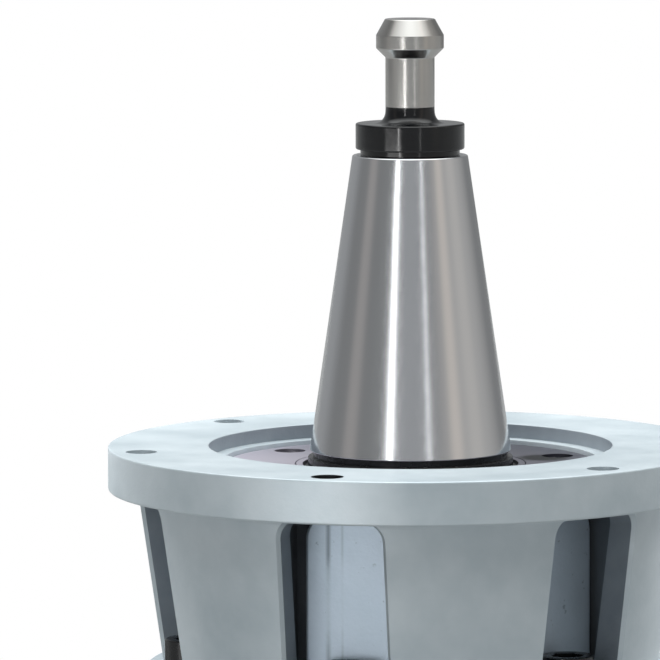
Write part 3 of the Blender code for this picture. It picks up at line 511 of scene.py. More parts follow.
adapter = {
    "swivel": 0.180,
    "flangeTop": 0.270,
    "flangeBottom": 0.255,
    "flangeRadius": 0.105,
    "edge": 0.0008,
    "fineEdge": 0.0004,
    "shelfEdge": 0.0003,
    "recessRadius": 0.070,
    "recessFloor": 0.2651,
    "retainerRadius": 0.065,
    "retainerShelf": 0.2556,
    "coneRadius": 0.0948,
    "coneSlope": 0.1425,
    "fillet": 0.003,
    "spigotRadius": 0.0577,
    "spigotEnd": 0.1743,
    "spigotBore": 0.050,
    "shoulderLow": 0.2209,
    "shoulderRadius": 0.0443,
    "cupShoulder": 0.2269,
    "bearingBore": 0.0503,
    "lowerRadius": 0.092,
    "lowerTop": 0.193,
    "pocketFloor": 0.1925,
    "windowHalf": 0.018,
    "windowTop": 0.2545,
    "windowCorner": 0.007,
    "chamfer": 0.0015,
    "wallInner": 0.081,
    "wallLow": 0.0714,
    "windowStart": 0.070,
    "chamberHalf": 0.022,
    "chamberInner": 0.060,
    "chamberTop": 0.2525,
    "padLeft": 0.0165,
    "padRight": 0.0207,
    "padChamfer": 0.0013,
    "padFace": 0.0685,
    "padCorner": 0.008,
    "padRise": 0.0005,
    "padRounding": [(0, 0.0012), (0.0004, 0.0004), (0.0012, 0)],
    "boltCircle": 0.095,
    "boltRadius": 0.0055,
    "boltFacets": 64,
    "clampCircle": 0.078,
    "tapDepth": 0.0083,
    "tapCircle": 0.055,
    "tapTurn": math.radians(7.6),
}


def coneRadius(height):
    return adapter["coneRadius"] - (adapter["flangeBottom"] - height) * adapter["coneSlope"]


def archOutline(left, right, corner, low, high, steps=12):
    points = [(-left, low), (right, low)]
    for edge, start in ((right - corner, 0), (corner - left, math.pi / 2)):
        for step in range(steps + 1):
            angle = start + step * math.pi / 2 / steps
            points.append((edge + corner * math.cos(angle),
                           high - corner + corner * math.sin(angle)))
    return points


def addArch(meshData, stations, low, high, corner, turn):
    # Stations give the reach to the left and right and the distance from the axis at a height
    spin = Matrix.Rotation(turn, 3, "Z")
    loops = []
    for left, right, distance in stations:
        outline = archOutline(left, right, corner, low, high)
        loops.append([meshData.verts.new(spin @ Vector((x, -distance(z), z)))
                      for x, z in outline])
    for near, far in zip(loops, loops[1:]):
        for i in range(len(near)):
            meshData.faces.new((near[i - 1], near[i], far[i], far[i - 1]))
    meshData.faces.new(loops[0])
    meshData.faces.new(loops[-1])


def addChamber(meshData, turn):
    # The wall beside a window follows the cone, so the chamber narrows towards its floor
    a = adapter
    half = a["chamberHalf"]
    verts = addBox(meshData, (-half, -a["wallInner"], a["pocketFloor"]),
                   (half, -a["chamberInner"], a["chamberTop"]))
    for vert in verts:
        if vert.co.z < a["pocketFloor"] + hair and vert.co.y < -a["wallLow"]:
            vert.co.y = -a["wallLow"]
    bmesh.ops.rotate(meshData, verts=verts, cent=(0, 0, 0), matrix=Matrix.Rotation(turn, 3, "Z"))


def windowEdge(height):
    return math.sqrt(coneRadius(height) ** 2 - adapter["windowHalf"] ** 2)


def adapterFinish(centre, normal):
    # Picks the finish of a face: 0 body, 1 pad, 2 painted shade in the front bolt hole, 3 painted
    # shade on walls, 4 deeper painted shade in the chamber
    a = adapter
    sixth = math.pi / 3
    sector = round(math.atan2(centre.x, -centre.y) / sixth) * sixth
    across = Vector((math.cos(sector), math.sin(sector), 0))
    outward = Vector((math.sin(sector), -math.cos(sector), 0))
    side, depth = centre.dot(across), centre.dot(outward)
    reach = math.hypot(centre.x, centre.y)
    inHeight = a["pocketFloor"] - hair < centre.z < a["windowTop"] + hair
    inWidth = abs(side) < a["chamberHalf"] + hair
    if inHeight and inWidth and depth > a["chamberInner"] - hair:
        if depth < a["padFace"] + hair and abs(normal.dot(across)) < 0.8:
            return 1 if depth > a["padFace"] - a["padChamfer"] else 4
        wallDepth = windowEdge(centre.z) - a["chamfer"] - gap
        if abs(side) < a["windowHalf"] + 2 * hair and depth < wallDepth:
            return 3
        if abs(side) > a["windowHalf"] and depth < a["wallInner"] + hair:
            return 4
    if a["flangeBottom"] < centre.z < a["flangeTop"] - hair and abs(normal.z) < 0.5:
        # Only the front bolt hole gets the dark bore steel: painted shade
        frontHole = math.hypot(centre.x, centre.y + a["boltCircle"])
        if abs(frontHole - a["boltRadius"]) < 4 * hair:
            return 2
        # The recess wall gets the darker wall paint: painted shade
        if abs(reach - a["recessRadius"]) < 5 * hair:
            return 3
    return 0


def makeAdapter():
    a = adapter
    coneTop = coneRadius(a["flangeBottom"])
    outline = [
        (a["recessRadius"], a["flangeTop"]),
        (a["flangeRadius"], a["flangeTop"]),
        (a["flangeRadius"], a["flangeBottom"]),
        (coneTop, a["flangeBottom"]),
        (coneRadius(a["lowerTop"]), a["lowerTop"]),
        (a["lowerRadius"], a["lowerTop"]),
        (a["lowerRadius"], a["swivel"]),
        (a["spigotRadius"], a["swivel"]),
        (a["spigotRadius"], a["spigotEnd"]),
        (a["spigotBore"], a["spigotEnd"]),
        (a["spigotBore"], a["shoulderLow"]),
        (a["shoulderRadius"], a["shoulderLow"]),
        (a["shoulderRadius"], a["cupShoulder"]),
        (a["bearingBore"], a["cupShoulder"]),
        (a["bearingBore"], a["retainerShelf"]),
        (a["retainerRadius"], a["retainerShelf"]),
        (a["retainerRadius"], a["recessFloor"]),
        (a["recessRadius"], a["recessFloor"]),
    ]
    radii = {0: a["fineEdge"], 1: a["edge"], 2: a["edge"], 3: a["fillet"], 5: a["edge"],
             6: a["fineEdge"], 16: a["shelfEdge"]}
    meshData = bmesh.new()
    spinProfile(meshData, rounded(outline, radii, steps=5), full["facets"])
    body = finishMesh("adapterBody", meshData, [grey, padGrey, boreShadeSteel, wallShadeGrey, chamberShadeGrey],
                      "adapter", ["adapter_body"])
    chambers, windows, pads, holes = (bmesh.new() for _ in range(4))
    half, left, right = a["windowHalf"], a["padLeft"], a["padRight"]
    windowStations = [
        (half, half, lambda z: a["windowStart"]),
        (half, half, lambda z: windowEdge(z) - a["chamfer"]),
        (half + overcut, half + overcut, lambda z: windowEdge(z) - a["chamfer"] + overcut),
    ]
    padStations = [(left, right, lambda z: a["chamberInner"] - undercut)]
    for inset, drop in a["padRounding"]:
        padStations.append((left - inset, right - inset, lambda z, drop=drop: a["padFace"] - drop))
    for turn in spread(6):
        addChamber(chambers, turn)
        addArch(windows, windowStations, a["pocketFloor"], a["windowTop"], a["windowCorner"],
                turn)
        addArch(pads, padStations, a["pocketFloor"] - undercut, a["chamberTop"] + a["padRise"],
                a["padCorner"], turn)
        addCylinder(holes, a["boltRadius"], a["flangeBottom"] - overcut / 2,
                    a["flangeTop"] + overcut, onCircle(a["boltCircle"], turn), a["boltFacets"])
        addCylinder(holes, screws["clamp"]["hole"], a["swivel"] - overcut,
                    a["pocketFloor"] + overcut, onCircle(a["clampCircle"], turn))
        addCylinder(holes, screws["small"]["hole"], a["retainerShelf"] - a["tapDepth"],
                    a["retainerShelf"] + overcut, onCircle(a["tapCircle"], turn + a["tapTurn"]),
                    full["small"])
    cut(body, chambers)
    cut(body, windows)
    cut(body, pads, "UNION")
    cut(body, holes)
    reshade(body)
    for face in body.data.polygons:
        face.material_index = adapterFinish(face.center, face.normal)


makeAdapter()
print("adapter made")

# Retainer ring with its six screws, and the seal

retainer = {
    "top": 0.2636,
    "bottom": 0.2559,
    "underside": 0.2524,
    "ringEnd": 0.24595,
    "lip": 0.040,
    "stop": 0.0375,
    "ringInner": 0.0476,
    "ringOuter": 0.050,
    "edge": 0.0005,
    "lipEdge": 0.0004,
    "headSeat": 0.2586,
}

seal = {
    "outer": 0.0398,
    "shell": 0.0374,
    "inner": 0.0359,
    "height": 0.0073,
    "lipHeight": 0.006,
    "outerEdge": 0.0002,
    "shellEdge": 0.0003,
    "lipEdge": 0.0005,
}


def makeRetainer():
    r = retainer
    outer = adapter["retainerRadius"] - gap
    outline = [
        (outer, r["bottom"]),
        (outer, r["top"]),
        (r["lip"], r["top"]),
        (r["lip"], r["bottom"]),
        (r["stop"], r["bottom"]),
        (r["stop"], r["underside"]),
        (r["ringInner"], r["underside"]),
        (r["ringInner"], r["ringEnd"]),
        (r["ringOuter"], r["ringEnd"]),
        (r["ringOuter"], r["bottom"]),
    ]
    meshData = bmesh.new()
    radii = {1: r["edge"], 2: r["lipEdge"]}
    spinProfile(meshData, rounded(outline, radii, steps=4), full["facets"])
    piece = finishMesh("retainerRing", meshData, [plateSteel], "adapter",
                       ["bearing_retainer"])
    bores = bmesh.new()
    for turn in spread(6, adapter["tapTurn"]):
        centre = onCircle(adapter["tapCircle"], turn)
        addCylinder(bores, screws["small"]["counterbore"], r["headSeat"], r["top"] + overcut,
                    centre)
        addCylinder(bores, screws["small"]["hole"], r["bottom"] - undercut,
                    r["headSeat"] + undercut, centre, full["small"])
    cut(piece, bores, selfCut=True)
    reshade(piece)
    for number, turn in enumerate(spread(6, adapter["tapTurn"]), 1):
        x, y = onCircle(adapter["tapCircle"], turn)
        hexScrew(f"retainerScrew{number}", f"retainer_screw_{number}", "adapter", "small",
                 Matrix.Translation((x, y, r["headSeat"] + gap)))


def makeSeal():
    s = seal
    low = retainer["bottom"] + gap
    outline = [
        (s["outer"], low),
        (s["outer"], low + s["height"]),
        (s["shell"], low + s["height"]),
        (s["shell"], low + s["lipHeight"]),
        (s["inner"], low + s["lipHeight"]),
        (s["inner"], low),
    ]
    meshData = bmesh.new()
    radii = {1: s["outerEdge"], 2: s["shellEdge"], 4: s["lipEdge"]}
    spinProfile(meshData, rounded(outline, radii, steps=3), full["facets"])
    for face in meshData.faces:
        middle = face.calc_center_median()
        onShell = math.hypot(middle.x, middle.y) > s["shell"] - 2 * hair
        face.material_index = 1 if onShell else 0
    finishMesh("lipSeal", meshData, [rubber, plateSteel], "adapter",
               ["input_seal"])


makeRetainer()
makeSeal()
for number, turn in enumerate(spread(6), 1):
    x, y = onCircle(adapter["clampCircle"], turn)
    hexScrew(f"clampScrew{number}", f"clamp_screw_{number}", "adapter", "clamp",
             Matrix.Translation((x, y, adapter["pocketFloor"] + gap)),
             knurl=True, facets=full["fine"])
print("retainer and clamp screws made")

# Taper arbor

arbor = {
    "gauge": 0.2682,
    "gaugeRadius": 0.034925,
    "end": 0.3708,
    "slope": 7 / 48,
    "collarRadius": 0.0356,
    "collarTop": 0.2660,
    "grooveRadius": 0.0337,
    "threadRadius": 0.0125,
    "threadTop": 0.1184,
    "gearSeat": 0.015,
    "gearSeatTop": 0.1327,
    "lowerJournal": 0.030,
    "journal": 0.0325,
    "journalTop": 0.25045,
    "boreDepth": 0.034,
    "collarEdge": 0.0004,
    "footEdge": 0.0003,
    "topEdge": 0.0008,
}


def makeArbor():
    b = arbor
    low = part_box("input_arbor")[0].z
    endRadius = b["gaugeRadius"] - (b["end"] - b["gauge"]) * b["slope"]
    outline = [
        (0, low),
        (b["threadRadius"], low),
        (b["threadRadius"], b["threadTop"]),
        (b["gearSeat"], b["threadTop"]),
        (b["gearSeat"], b["gearSeatTop"]),
        (b["lowerJournal"], b["gearSeatTop"]),
        (b["lowerJournal"], adapter["cupShoulder"]),
        (b["journal"], adapter["cupShoulder"]),
        (b["journal"], b["journalTop"]),
        (b["collarRadius"], b["journalTop"]),
        (b["collarRadius"], b["collarTop"]),
        (b["grooveRadius"], b["collarTop"]),
        (b["grooveRadius"], b["gauge"]),
        (b["gaugeRadius"], b["gauge"]),
        (endRadius, b["end"]),
        (b["threadRadius"], b["end"]),
        (b["threadRadius"], b["end"] - b["boreDepth"]),
        (0, b["end"] - b["boreDepth"]),
    ]
    radii = {10: b["collarEdge"], 13: b["footEdge"], 14: b["topEdge"]}
    meshData = bmesh.new()
    spinProfile(meshData, rounded(outline, radii, steps=4), full["facets"])
    # The collar and groove below the taper get black oxide, which is also painted shade of the gap
    # under the taper
    for face in meshData.faces:
        height = face.calc_center_median().z
        face.material_index = 1 if b["journalTop"] - 5 * hair < height < b["gauge"] else 0
    finishMesh("taperArbor", meshData, [groundSteel, blackSteel], "input_shaft",
               ["input_arbor"])


# Pull stud: black collar and fillet, bright neck and knob

stud = {
    "flangeRadius": 0.01885,
    "flangeHeight": 0.009,
    "flangeEdge": 0.0007,
    "footRadius": 0.0172,
    "footHeight": 0.0017,
    "fillet": 0.0045,
    "neckRadius": 0.0085,
    "neckHeight": 0.0182,
    "knobRadius": 0.0117,
    "knobHeight": 0.0045,
    "topRadius": 0.0086,
    "topHeight": 0.0056,
    # How far the black reaches up the neck: painted reflection of the black collar
    "neckReflectionBand": 0.0012,
    "shank": 0.012,
    "neckEdge": 0.0006,
    "knobLowEdge": 0.0005,
    "knobHighEdge": 0.0004,
    "topEdge": 0.0006,
}


def makeStud():
    s = stud
    foot = arbor["end"] - arbor["boreDepth"]
    base = arbor["end"] + gap
    low = base + s["footHeight"]
    high = low + s["flangeHeight"]
    neck = high + s["fillet"]
    knob = neck + s["neckHeight"]
    wide = knob + s["knobRadius"] - s["neckRadius"]
    outline = [
        (0, foot),
        (s["shank"], foot),
        (s["shank"], base),
        (s["footRadius"], base),
        (s["footRadius"], low),
        (s["flangeRadius"], low),
        (s["flangeRadius"], high),
        (s["neckRadius"], high),
        (s["neckRadius"], knob),
        (s["knobRadius"], wide),
        (s["knobRadius"], wide + s["knobHeight"]),
        (s["topRadius"], wide + s["knobHeight"] + s["topHeight"]),
        (0, wide + s["knobHeight"] + s["topHeight"]),
    ]
    radii = {5: s["flangeEdge"], 6: s["flangeEdge"], 7: s["fillet"], 8: s["neckEdge"],
             9: s["knobLowEdge"], 10: s["knobHighEdge"], 11: s["topEdge"]}
    profile = rounded(outline, radii, steps=8)
    # A short band of the neck above the fillet is black too: painted reflection of the collar
    border = neck + s["neckReflectionBand"]
    after = [i for i, point in enumerate(profile) if point[1] > border][0]
    profile.insert(after, (s["neckRadius"], border))
    meshData = bmesh.new()
    spinProfile(meshData, profile, full["facets"])
    for face in meshData.faces:
        face.material_index = 1 if face.calc_center_median().z < border else 0
    finishMesh("pullStud", meshData, [brightSteel, collarBlack], "input_shaft",
               ["pull_stud"])


makeArbor()
makeStud()
print("arbor and stud made")

# Gear case: top flange with its T-slot, barrel, and two bosses on the output axis

case = {
    "top": 0.1797,
    "neckHalf": 0.007,
    "neckHeight": 0.008,
    "slotHalf": 0.012,
    "slotHeight": 0.0095,
    "slotFloor": 0.005,
    "portHalf": 0.014,
    "flangeRadius": 0.096,
    "barrel": 0.066,
    "fillet": 0.014,
    "baseEdge": 0.006,
    "floor": 0.018,
    "bore": 0.0478,
    "boreShoulder": 0.1563,
    "web": 0.043,
    "spigot": 0.058,
    "spigotFloor": 0.1737,
    "front": 0.0779,
    "frontBoss": 0.064,
    "frontStep": 0.0517,
    "gearRoom": 0.0452,
    "gearBack": 0.040,
    "rear": 0.0885,
    "rearBoss": 0.050,
    "rearBore": 0.0343,
    "rearStep": 0.0283,
    "rearWeb": 0.0515,
    "edge": 0.0012,
    "undersideEdge": 0.0006,
    "slotEdge": 0.0005,
    "plugHeight": 0.030,
    "plugSpot": 0.0645,
    "plugFacets": 64,
}


def makeCase():
    c = case
    slotTop = c["top"] - c["neckHeight"]
    slotLow = slotTop - c["slotHeight"]
    flangeLow = slotLow - c["slotFloor"]
    circle = adapter["clampCircle"]
    outline = [
        (0, 0),
        (c["barrel"], 0),
        (c["barrel"], flangeLow),
        (c["flangeRadius"], flangeLow),
        (c["flangeRadius"], c["top"]),
        (circle + c["neckHalf"], c["top"]),
        (circle + c["neckHalf"], slotTop),
        (circle + c["slotHalf"], slotTop),
        (circle + c["slotHalf"], slotLow),
        (circle - c["slotHalf"], slotLow),
        (circle - c["slotHalf"], slotTop),
        (circle - c["neckHalf"], slotTop),
        (circle - c["neckHalf"], c["top"]),
        (0, c["top"]),
    ]
    radii = {1: c["baseEdge"], 2: c["fillet"], 3: c["undersideEdge"], 4: c["edge"],
             5: c["slotEdge"], 12: c["slotEdge"]}
    meshData = bmesh.new()
    spinProfile(meshData, rounded(outline, radii, steps=10), full["facets"])
    piece = finishMesh("gearCase", meshData, [grey], "head", ["gear_case"])

    bosses = bmesh.new()
    outline = [(0, c["front"]), (c["frontBoss"], c["front"]), (c["frontBoss"], 0),
               (c["rearBoss"], 0), (c["rearBoss"], -c["rear"]), (0, -c["rear"])]
    radii = {1: c["slotEdge"], 4: c["edge"]}
    spinProfile(bosses, rounded(outline, radii, steps=6), full["facets"], towardsFront)
    cut(piece, bosses, "UNION")
    port = bmesh.new()
    addBox(port, (circle - c["slotHalf"], -c["portHalf"], slotTop - undercut),
           (circle + c["slotHalf"], c["portHalf"], c["top"] + overcut))
    cut(piece, port)
    towardsRight = (Matrix.Translation((0, 0, c["plugHeight"]))
                    @ Matrix.Rotation(math.pi / 2, 4, "Y"))
    plug = screws["plug"]
    spot = c["plugSpot"]
    for radius, low, high in ((plug["hole"], c["bore"] - overcut / 2, spot + undercut),
                              (plug["counterbore"], spot, spot + overcut)):
        hole = bmesh.new()
        addCylinder(hole, radius, low, high, facets=c["plugFacets"])
        bmesh.ops.transform(hole, matrix=towardsRight, verts=hole.verts)
        cut(piece, hole)
    shaftBore = bmesh.new()
    outline = [(0, c["floor"]), (c["bore"], c["floor"]), (c["bore"], c["boreShoulder"]),
               (c["web"], c["boreShoulder"]), (c["web"], c["spigotFloor"]),
               (c["spigot"], c["spigotFloor"]), (c["spigot"], c["top"] + overcut),
               (0, c["top"] + overcut)]
    spinProfile(shaftBore, outline, full["fine"])
    cut(piece, shaftBore)
    spindleBore = bmesh.new()
    frontBore = adapter["bearingBore"]
    outline = [
        (0, c["front"] + overcut),
        (frontBore, c["front"] + overcut),
        (frontBore, c["frontStep"]),
        (c["gearRoom"], c["frontStep"]),
        (c["gearRoom"], -c["gearBack"]),
        (c["rearStep"], -c["gearBack"]),
        (c["rearStep"], -c["rearWeb"]),
        (c["rearBore"], -c["rearWeb"]),
        (c["rearBore"], -c["rear"] - overcut),
        (0, -c["rear"] - overcut),
    ]
    spinProfile(spindleBore, outline, full["fine"], towardsFront)
    cut(piece, spindleBore)
    reshade(piece)
    hexScrew("oilPlug", "oil_plug", "head", "plug",
             towardsRight @ Matrix.Translation((0, 0, spot + gap)))


# Front cover with its four screws, and the rear cap

cover = {
    "front": 0.0879,
    "back": 0.0782,
    "inner": 0.04525,
    "ringEnd": 0.0708,
    "noseGap": 0.0761,
    "circle": 0.057,
    "seat": 0.0829,
    "edge": 0.0009,
    "innerEdge": 0.0005,
    "capFace": 0.0888,
    "capThickness": 0.006,
    "capRadius": 0.040,
    "capSpigot": 0.034,
    "capWall": 0.0035,
    "capReach": 0.0825,
    "pinRadius": 0.003,
    "pinDepth": 0.004,
    "pinCircle": 0.028,
    "pinFacets": 32,
}


def makeCovers():
    v = cover
    outer = case["frontBoss"]
    outline = [
        (outer, v["back"]),
        (outer, v["front"]),
        (v["inner"], v["front"]),
        (v["inner"], v["noseGap"]),
        (retainer["ringInner"], v["noseGap"]),
        (retainer["ringInner"], v["ringEnd"]),
        (retainer["ringOuter"], v["ringEnd"]),
        (retainer["ringOuter"], v["back"]),
    ]
    radii = {1: v["edge"], 2: v["innerEdge"]}
    meshData = bmesh.new()
    spinProfile(meshData, rounded(outline, radii, steps=5), full["facets"])
    piece = finishMesh("frontCover", meshData, [grey], "head", ["front_cover"],
                       place=towardsFront)
    holes = bmesh.new()
    for number, turn in enumerate(spread(4, math.pi / 4), 1):
        centre = onCircle(v["circle"], turn)
        addCylinder(holes, screws["small"]["counterbore"], v["seat"], v["front"] + overcut,
                    centre)
        addCylinder(holes, screws["small"]["hole"], v["back"] - undercut, v["seat"] + undercut,
                    centre, full["small"])
        hexScrew(f"coverScrew{number}", f"cover_screw_{number}", "head", "small",
                 towardsFront @ Matrix.Translation((*centre, v["seat"] + gap)))
    cut(piece, holes, selfCut=True, place=towardsFront)
    reshade(piece)

    face = -v["capFace"]
    outside = face - v["capThickness"]
    outline = [
        (0, outside),
        (v["capRadius"], outside),
        (v["capRadius"], face),
        (v["capSpigot"], face),
        (v["capSpigot"], -v["capReach"]),
        (v["capSpigot"] - v["capWall"], -v["capReach"]),
        (v["capSpigot"] - v["capWall"], face),
        (0, face),
    ]
    meshData = bmesh.new()
    spinProfile(meshData, rounded(outline, {1: v["edge"]}, steps=5), full["fine"])
    piece = finishMesh("rearCap", meshData, [grey], "head", ["rear_cap"],
                       place=towardsFront)
    pins = bmesh.new()
    for turn in spread(2, math.pi / 2):
        addCylinder(pins, v["pinRadius"], outside - overcut, outside + v["pinDepth"],
                    onCircle(v["pinCircle"], turn), v["pinFacets"])
    cut(piece, pins, place=towardsFront)
    reshade(piece)


makeCase()
makeCovers()
print("gear case and covers made")

# Output spindle with its two driving keys and the draw screw

spindle = {
    "reach": 0.094,
    "noseBack": 0.0753,
    "noseRadius": 0.04445,
    "socket": 0.022225,
    "socketEnd": 0.026,
    "journal": 0.0322,
    "journalEnd": 0.053,
    "shaft": 0.0197,
    "end": -0.0828,
    "drawBore": 0.0085,
    "drawHead": 0.0123,
    "drawSeat": -0.0665,
    "keyHalf": 0.00795,
    "keyInner": 0.0265,
    "keyBack": 0.086,
    "keyReach": 0.102,
    "keyTop": 0.0008,
    "keyEdge": 0.0008,
    "socketEdge": 0.0006,
    "edge": 0.0009,
    "backEdge": 0.0006,
    "holeCircle": 0.03335,
    "holeRadius": 0.007,
    "holeFloor": 0.081,
}


def makeSpindle():
    s = spindle
    end = s["socket"] - (s["reach"] - s["socketEnd"]) * arbor["slope"]
    outline = [
        (s["socket"], s["reach"]),
        (s["noseRadius"], s["reach"]),
        (s["noseRadius"], s["noseBack"]),
        (s["journal"], s["noseBack"]),
        (s["journal"], s["journalEnd"]),
        (s["shaft"], s["journalEnd"]),
        (s["shaft"], s["end"]),
        (s["drawHead"], s["end"]),
        (s["drawHead"], s["drawSeat"]),
        (s["drawBore"], s["drawSeat"]),
        (s["drawBore"], s["socketEnd"]),
        (end, s["socketEnd"]),
    ]
    meshData = bmesh.new()
    radii = {0: s["socketEdge"], 1: s["edge"], 2: s["backEdge"]}
    spinProfile(meshData, rounded(outline, radii, steps=4), full["facets"])
    piece = finishMesh("outputSpindle", meshData, [spindleSteel, socketShadeSteel], "output_shaft",
                       ["output_spindle"], place=towardsFront)
    cuts = bmesh.new()
    for turn in (0, math.pi):
        addBox(cuts, (s["keyInner"] - gap, -s["keyHalf"] - gap, s["keyBack"] - gap),
               (s["noseRadius"] + overcut, s["keyHalf"] + gap, s["reach"] + overcut), turn)
    for turn in spread(4, math.pi / 4):
        addCylinder(cuts, s["holeRadius"], s["holeFloor"], s["reach"] + overcut,
                    onCircle(s["holeCircle"], turn))
    cut(piece, cuts, place=towardsFront)
    reshade(piece)
    alongAxis = towardsFront.inverted()
    # Faces of the bore behind the taper socket get dark bore steel: painted shade
    for face in piece.data.polygons:
        centre = alongAxis @ face.center
        reach = math.hypot(centre.x, centre.y)
        face.material_index = 1 if reach < s["socket"] and centre.z < s["socketEnd"] else 0
    for number, turn in enumerate((0, math.pi), 1):
        key = bmesh.new()
        addBox(key, (s["keyInner"], -s["keyHalf"], s["keyBack"]),
               (s["noseRadius"] - s["keyTop"], s["keyHalf"], s["keyReach"]), turn)
        bmesh.ops.bevel(key, geom=key.edges[:], offset=s["keyEdge"], segments=3, profile=0.5,
                        affect="EDGES", material=-1)
        finishMesh(f"driveKey{number}", key, [blackSteel], "output_shaft",
                   [f"drive_key_{number}"], place=towardsFront)
    turned = Matrix.Translation((0, 0, s["drawSeat"] - gap)) @ Matrix.Rotation(math.pi, 4, "X")
    hexScrew("drawScrew", "draw_screw", "output_shaft", "draw", towardsFront @ turned)


makeSpindle()
print("output spindle made")

# Long faces keep their own direction beside narrow rounded edges
for piece in pieces:
    step = piece.modifiers.new("edgeShading", "WEIGHTED_NORMAL")
    step.keep_sharp = True

# Floor, light and camera

floor = {
    "size": 6.0,
    "shadowNear": 0.22,
    "shadowFar": 0.75,
    "colour": "#F2F2F2",
    "bounce": "#8C8C8C",
}
white = (1, 1, 1, 1)


def makeFloor():
    meshData = bmesh.new()
    bmesh.ops.create_grid(meshData, x_segments=1, y_segments=1, size=floor["size"])
    mesh = bpy.data.meshes.new("floor")
    meshData.to_mesh(mesh)
    meshData.free()
    piece = bpy.data.objects.new("floor", mesh)
    bpy.context.collection.objects.link(piece)
    # The camera sees a white floor with the shadow only near the part
    material, tree, shader = newMaterial("paleFloor", floor["colour"], 0.9, specular=0.0)
    bounce = addNode(tree, "ShaderNodeBsdfDiffuse", Color=srgb(floor["bounce"]))
    point = addNode(tree, "ShaderNodeTexCoord").outputs["Object"]
    distance = addNode(tree, "ShaderNodeVectorMath", {"operation": "LENGTH"},
                       _0=point).outputs["Value"]
    away = addNode(tree, "ShaderNodeMapRange", Value=distance, From_Min=floor["shadowNear"],
                   From_Max=floor["shadowFar"])
    plain = addNode(tree, "ShaderNodeEmission", Color=white, Strength=1.0)
    seen = addNode(tree, "ShaderNodeMixShader", _0=away, _1=shader, _2=plain)
    camera = addNode(tree, "ShaderNodeLightPath").outputs["Is Camera Ray"]
    mix = addNode(tree, "ShaderNodeMixShader", _0=camera, _1=bounce, _2=seen)
    output = [node for node in tree.nodes if node.type == "OUTPUT_MATERIAL"][0]
    feed(tree, output, Surface=mix)
    mesh.materials.append(material)


makeFloor()

view = {
    "aim": Vector((0, 0, 0.270)),
    "distance": 2.292,
    "azimuth": math.radians(17),
    "elevation": math.radians(6.85),
    "roll": math.radians(0.15),
    "left": 0.0279,
    "up": 0.0397,
    "lens": 360,
    "sensor": 36,
    "clip": 50,
}

sky = {
    "colour": "#F5F8F8",
    "glossColour": "#F4F6F8",
    "base": 0.125,
    "gloss": 0.21,
    "zenith": 5.5,
    "mirrored": 0.6,
    "zenithLow": 0.62,
    "zenithHigh": 0.95,
    "lobes": [
        {"azimuth": 78, "half": 24, "edge": 30, "strength": 0.26, "colour": "#F6F2EC"},
        {"azimuth": 56, "half": 2, "edge": 8, "strength": 0.24, "colour": "#FFE6CC"},
        {"azimuth": 84, "half": 5, "edge": 8, "strength": 0.10, "colour": "#FFF2E0"},
        {"azimuth": 4, "half": 16, "edge": 14, "strength": 0.16, "colour": "#EEF3FA"},
        {"azimuth": -76, "half": 4, "edge": 8, "strength": 0.16, "colour": "#FFF0E6"},
        {"azimuth": -150, "half": 22, "edge": 20, "strength": 0.14, "colour": "#F0F4F8"},
    ],
}


def makeWorld():
    # Bright overhead; glossy rays also see soft upright lights around the part
    world = bpy.data.worlds.new("studio")
    bpy.context.scene.world = world
    world.use_nodes = True
    tree = world.node_tree
    tree.nodes.clear()
    product = {"operation": "MULTIPLY"}
    direction = addNode(tree, "ShaderNodeTexCoord").outputs["Generated"]
    height = addNode(tree, "ShaderNodeSeparateXYZ", Vector=direction).outputs["Z"]
    overhead = addNode(tree, "ShaderNodeMapRange", Value=height, From_Min=sky["zenithLow"],
                       From_Max=sky["zenithHigh"], To_Min=sky["base"], To_Max=sky["zenith"])
    level = addNode(tree, "ShaderNodeMapping", Vector=direction, Scale=(1, 1, 0))
    flat = addNode(tree, "ShaderNodeVectorMath", {"operation": "NORMALIZE"}, _0=level)
    rays = addNode(tree, "ShaderNodeLightPath").outputs
    dimmed = addNode(tree, "ShaderNodeMapRange", Value=rays["Is Glossy Ray"], To_Min=1.0,
                     To_Max=sky["mirrored"])
    strength = addNode(tree, "ShaderNodeMath", product, _0=overhead, _1=dimmed)
    light = addNode(tree, "ShaderNodeBackground", Color=srgb(sky["colour"]), Strength=strength)
    strength = addNode(tree, "ShaderNodeMath", product, _0=rays["Is Glossy Ray"],
                       _1=sky["gloss"])
    shine = addNode(tree, "ShaderNodeBackground", Color=srgb(sky["glossColour"]),
                    Strength=strength)
    total = addNode(tree, "ShaderNodeAddShader", _0=light, _1=shine)
    for lobe in sky["lobes"]:
        turn = view["azimuth"] + math.radians(lobe["azimuth"])
        towards = addNode(tree, "ShaderNodeVectorMath", {"operation": "DOT_PRODUCT"}, _0=flat,
                          _1=(math.sin(turn), -math.cos(turn), 0)).outputs["Value"]
        glow = addNode(tree, "ShaderNodeMapRange", Value=towards, To_Max=lobe["strength"],
                       From_Min=math.cos(math.radians(lobe["half"] + lobe["edge"])),
                       From_Max=math.cos(math.radians(lobe["half"])))
        strength = addNode(tree, "ShaderNodeMath", product, _0=glow, _1=rays["Is Glossy Ray"])
        panel = addNode(tree, "ShaderNodeBackground", Color=srgb(lobe["colour"]),
                        Strength=strength)
        total = addNode(tree, "ShaderNodeAddShader", _0=total, _1=panel)
    plain = addNode(tree, "ShaderNodeBackground", Color=white, Strength=1.0)
    mix = addNode(tree, "ShaderNodeMixShader", _0=rays["Is Camera Ray"], _1=total, _2=plain)
    addNode(tree, "ShaderNodeOutputWorld", Surface=mix)


makeWorld()

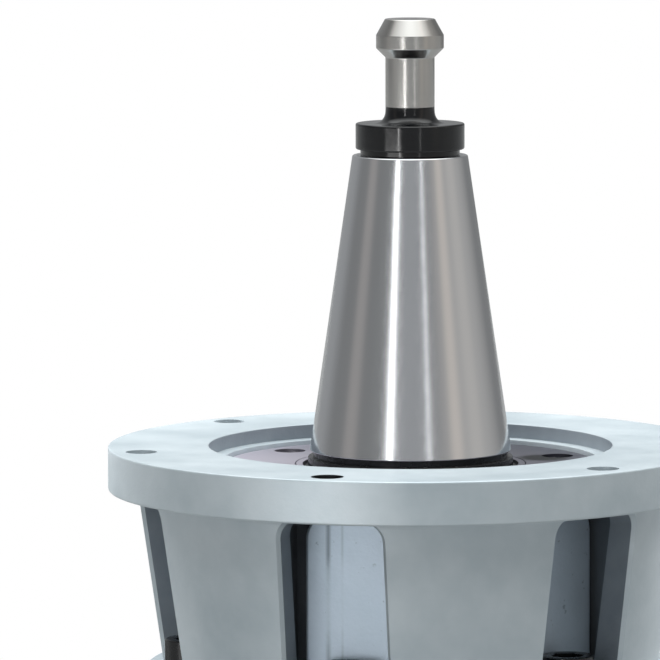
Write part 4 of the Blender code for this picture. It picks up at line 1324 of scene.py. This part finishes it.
# Azimuth is measured from the camera's side, towards its right
lamps = {
    "keySoft": {"azimuth": -14, "elevation": 10, "distance": 1.8, "width": 0.5, "height": 1.0,
                "power": 2.3, "unseenBy": ["glossy"]},
    "lowSoft": {"azimuth": -36, "elevation": -5, "distance": 1.6, "width": 1.0, "height": 0.2,
                "power": 4.2, "unseenBy": ["diffuse"]},
    "leftStrip": {"azimuth": -24, "elevation": 6, "distance": 1.6, "width": 0.05, "height": 1.2,
                  "power": 2.5, "unseenBy": []},
    "rightStrip": {"azimuth": 21.5, "elevation": 6, "distance": 1.6, "width": 0.02,
                   "height": 1.2, "power": 0.5, "unseenBy": []},
    "leftRim": {"azimuth": -125, "elevation": 8, "distance": 0.30, "width": 0.15,
                "height": 0.15, "power": 1.2, "unseenBy": ["glossy", "camera"]},
    "rightRim": {"azimuth": 125, "elevation": 6, "distance": 0.30, "width": 0.15,
                 "height": 0.15, "power": 1.2, "unseenBy": ["glossy", "camera"]},
}


def addLamp(name, settings):
    turn = view["azimuth"] + math.radians(settings["azimuth"])
    lift = math.radians(settings["elevation"])
    direction = Vector((math.sin(turn) * math.cos(lift), -math.cos(turn) * math.cos(lift),
                        math.sin(lift)))
    lamp = bpy.data.lights.new(name, "AREA")
    lamp.shape = "RECTANGLE"
    lamp.size = settings["width"]
    lamp.size_y = settings["height"]
    lamp.energy = settings["power"]
    holder = bpy.data.objects.new(name, lamp)
    holder.location = view["aim"] + direction * settings["distance"]
    holder.rotation_euler = direction.to_track_quat("Z", "Y").to_euler()
    for ray in settings["unseenBy"]:
        setattr(holder, "visible_" + ray, False)
    bpy.context.collection.objects.link(holder)


for name, settings in lamps.items():
    addLamp(name, settings)


def makeCamera():
    cosA, sinA = math.cos(view["azimuth"]), math.sin(view["azimuth"])
    cosE, sinE = math.cos(view["elevation"]), math.sin(view["elevation"])
    right = Vector((cosA, sinA, 0))
    back = Vector((sinA * cosE, -cosA * cosE, sinE))
    up = back.cross(right)
    target = view["aim"] - right * view["left"] + up * view["up"]
    place = view["aim"] + back * view["distance"]
    camera = bpy.data.cameras.new("camera")
    camera.lens = view["lens"]
    camera.sensor_width = view["sensor"]
    camera.clip_end = view["clip"]
    holder = bpy.data.objects.new("camera", camera)
    holder.location = place
    level = (place - target).to_track_quat("Z", "Y").to_matrix()
    holder.rotation_euler = (level @ Matrix.Rotation(-view["roll"], 3, "Z")).to_euler()
    bpy.context.collection.objects.link(holder)
    bpy.context.scene.camera = holder


makeCamera()
bpy.context.scene.view_settings.view_transform = "Standard"
print("stage made")

nodeMaterials = {
    "body_grey": grey,
    "ground_steel": groundSteel,
    "bearing_steel": bearingSteel,
    "gear_steel": gearSteel,
    "black_steel": blackSteel,
    "black_rubber": rubber,
}
for part in frame["record"]["subparts"]:
    node = frame["nodes"][part["node"]]
    for place in node.material_slots:
        place.material = nodeMaterials[part["material_slot"]]
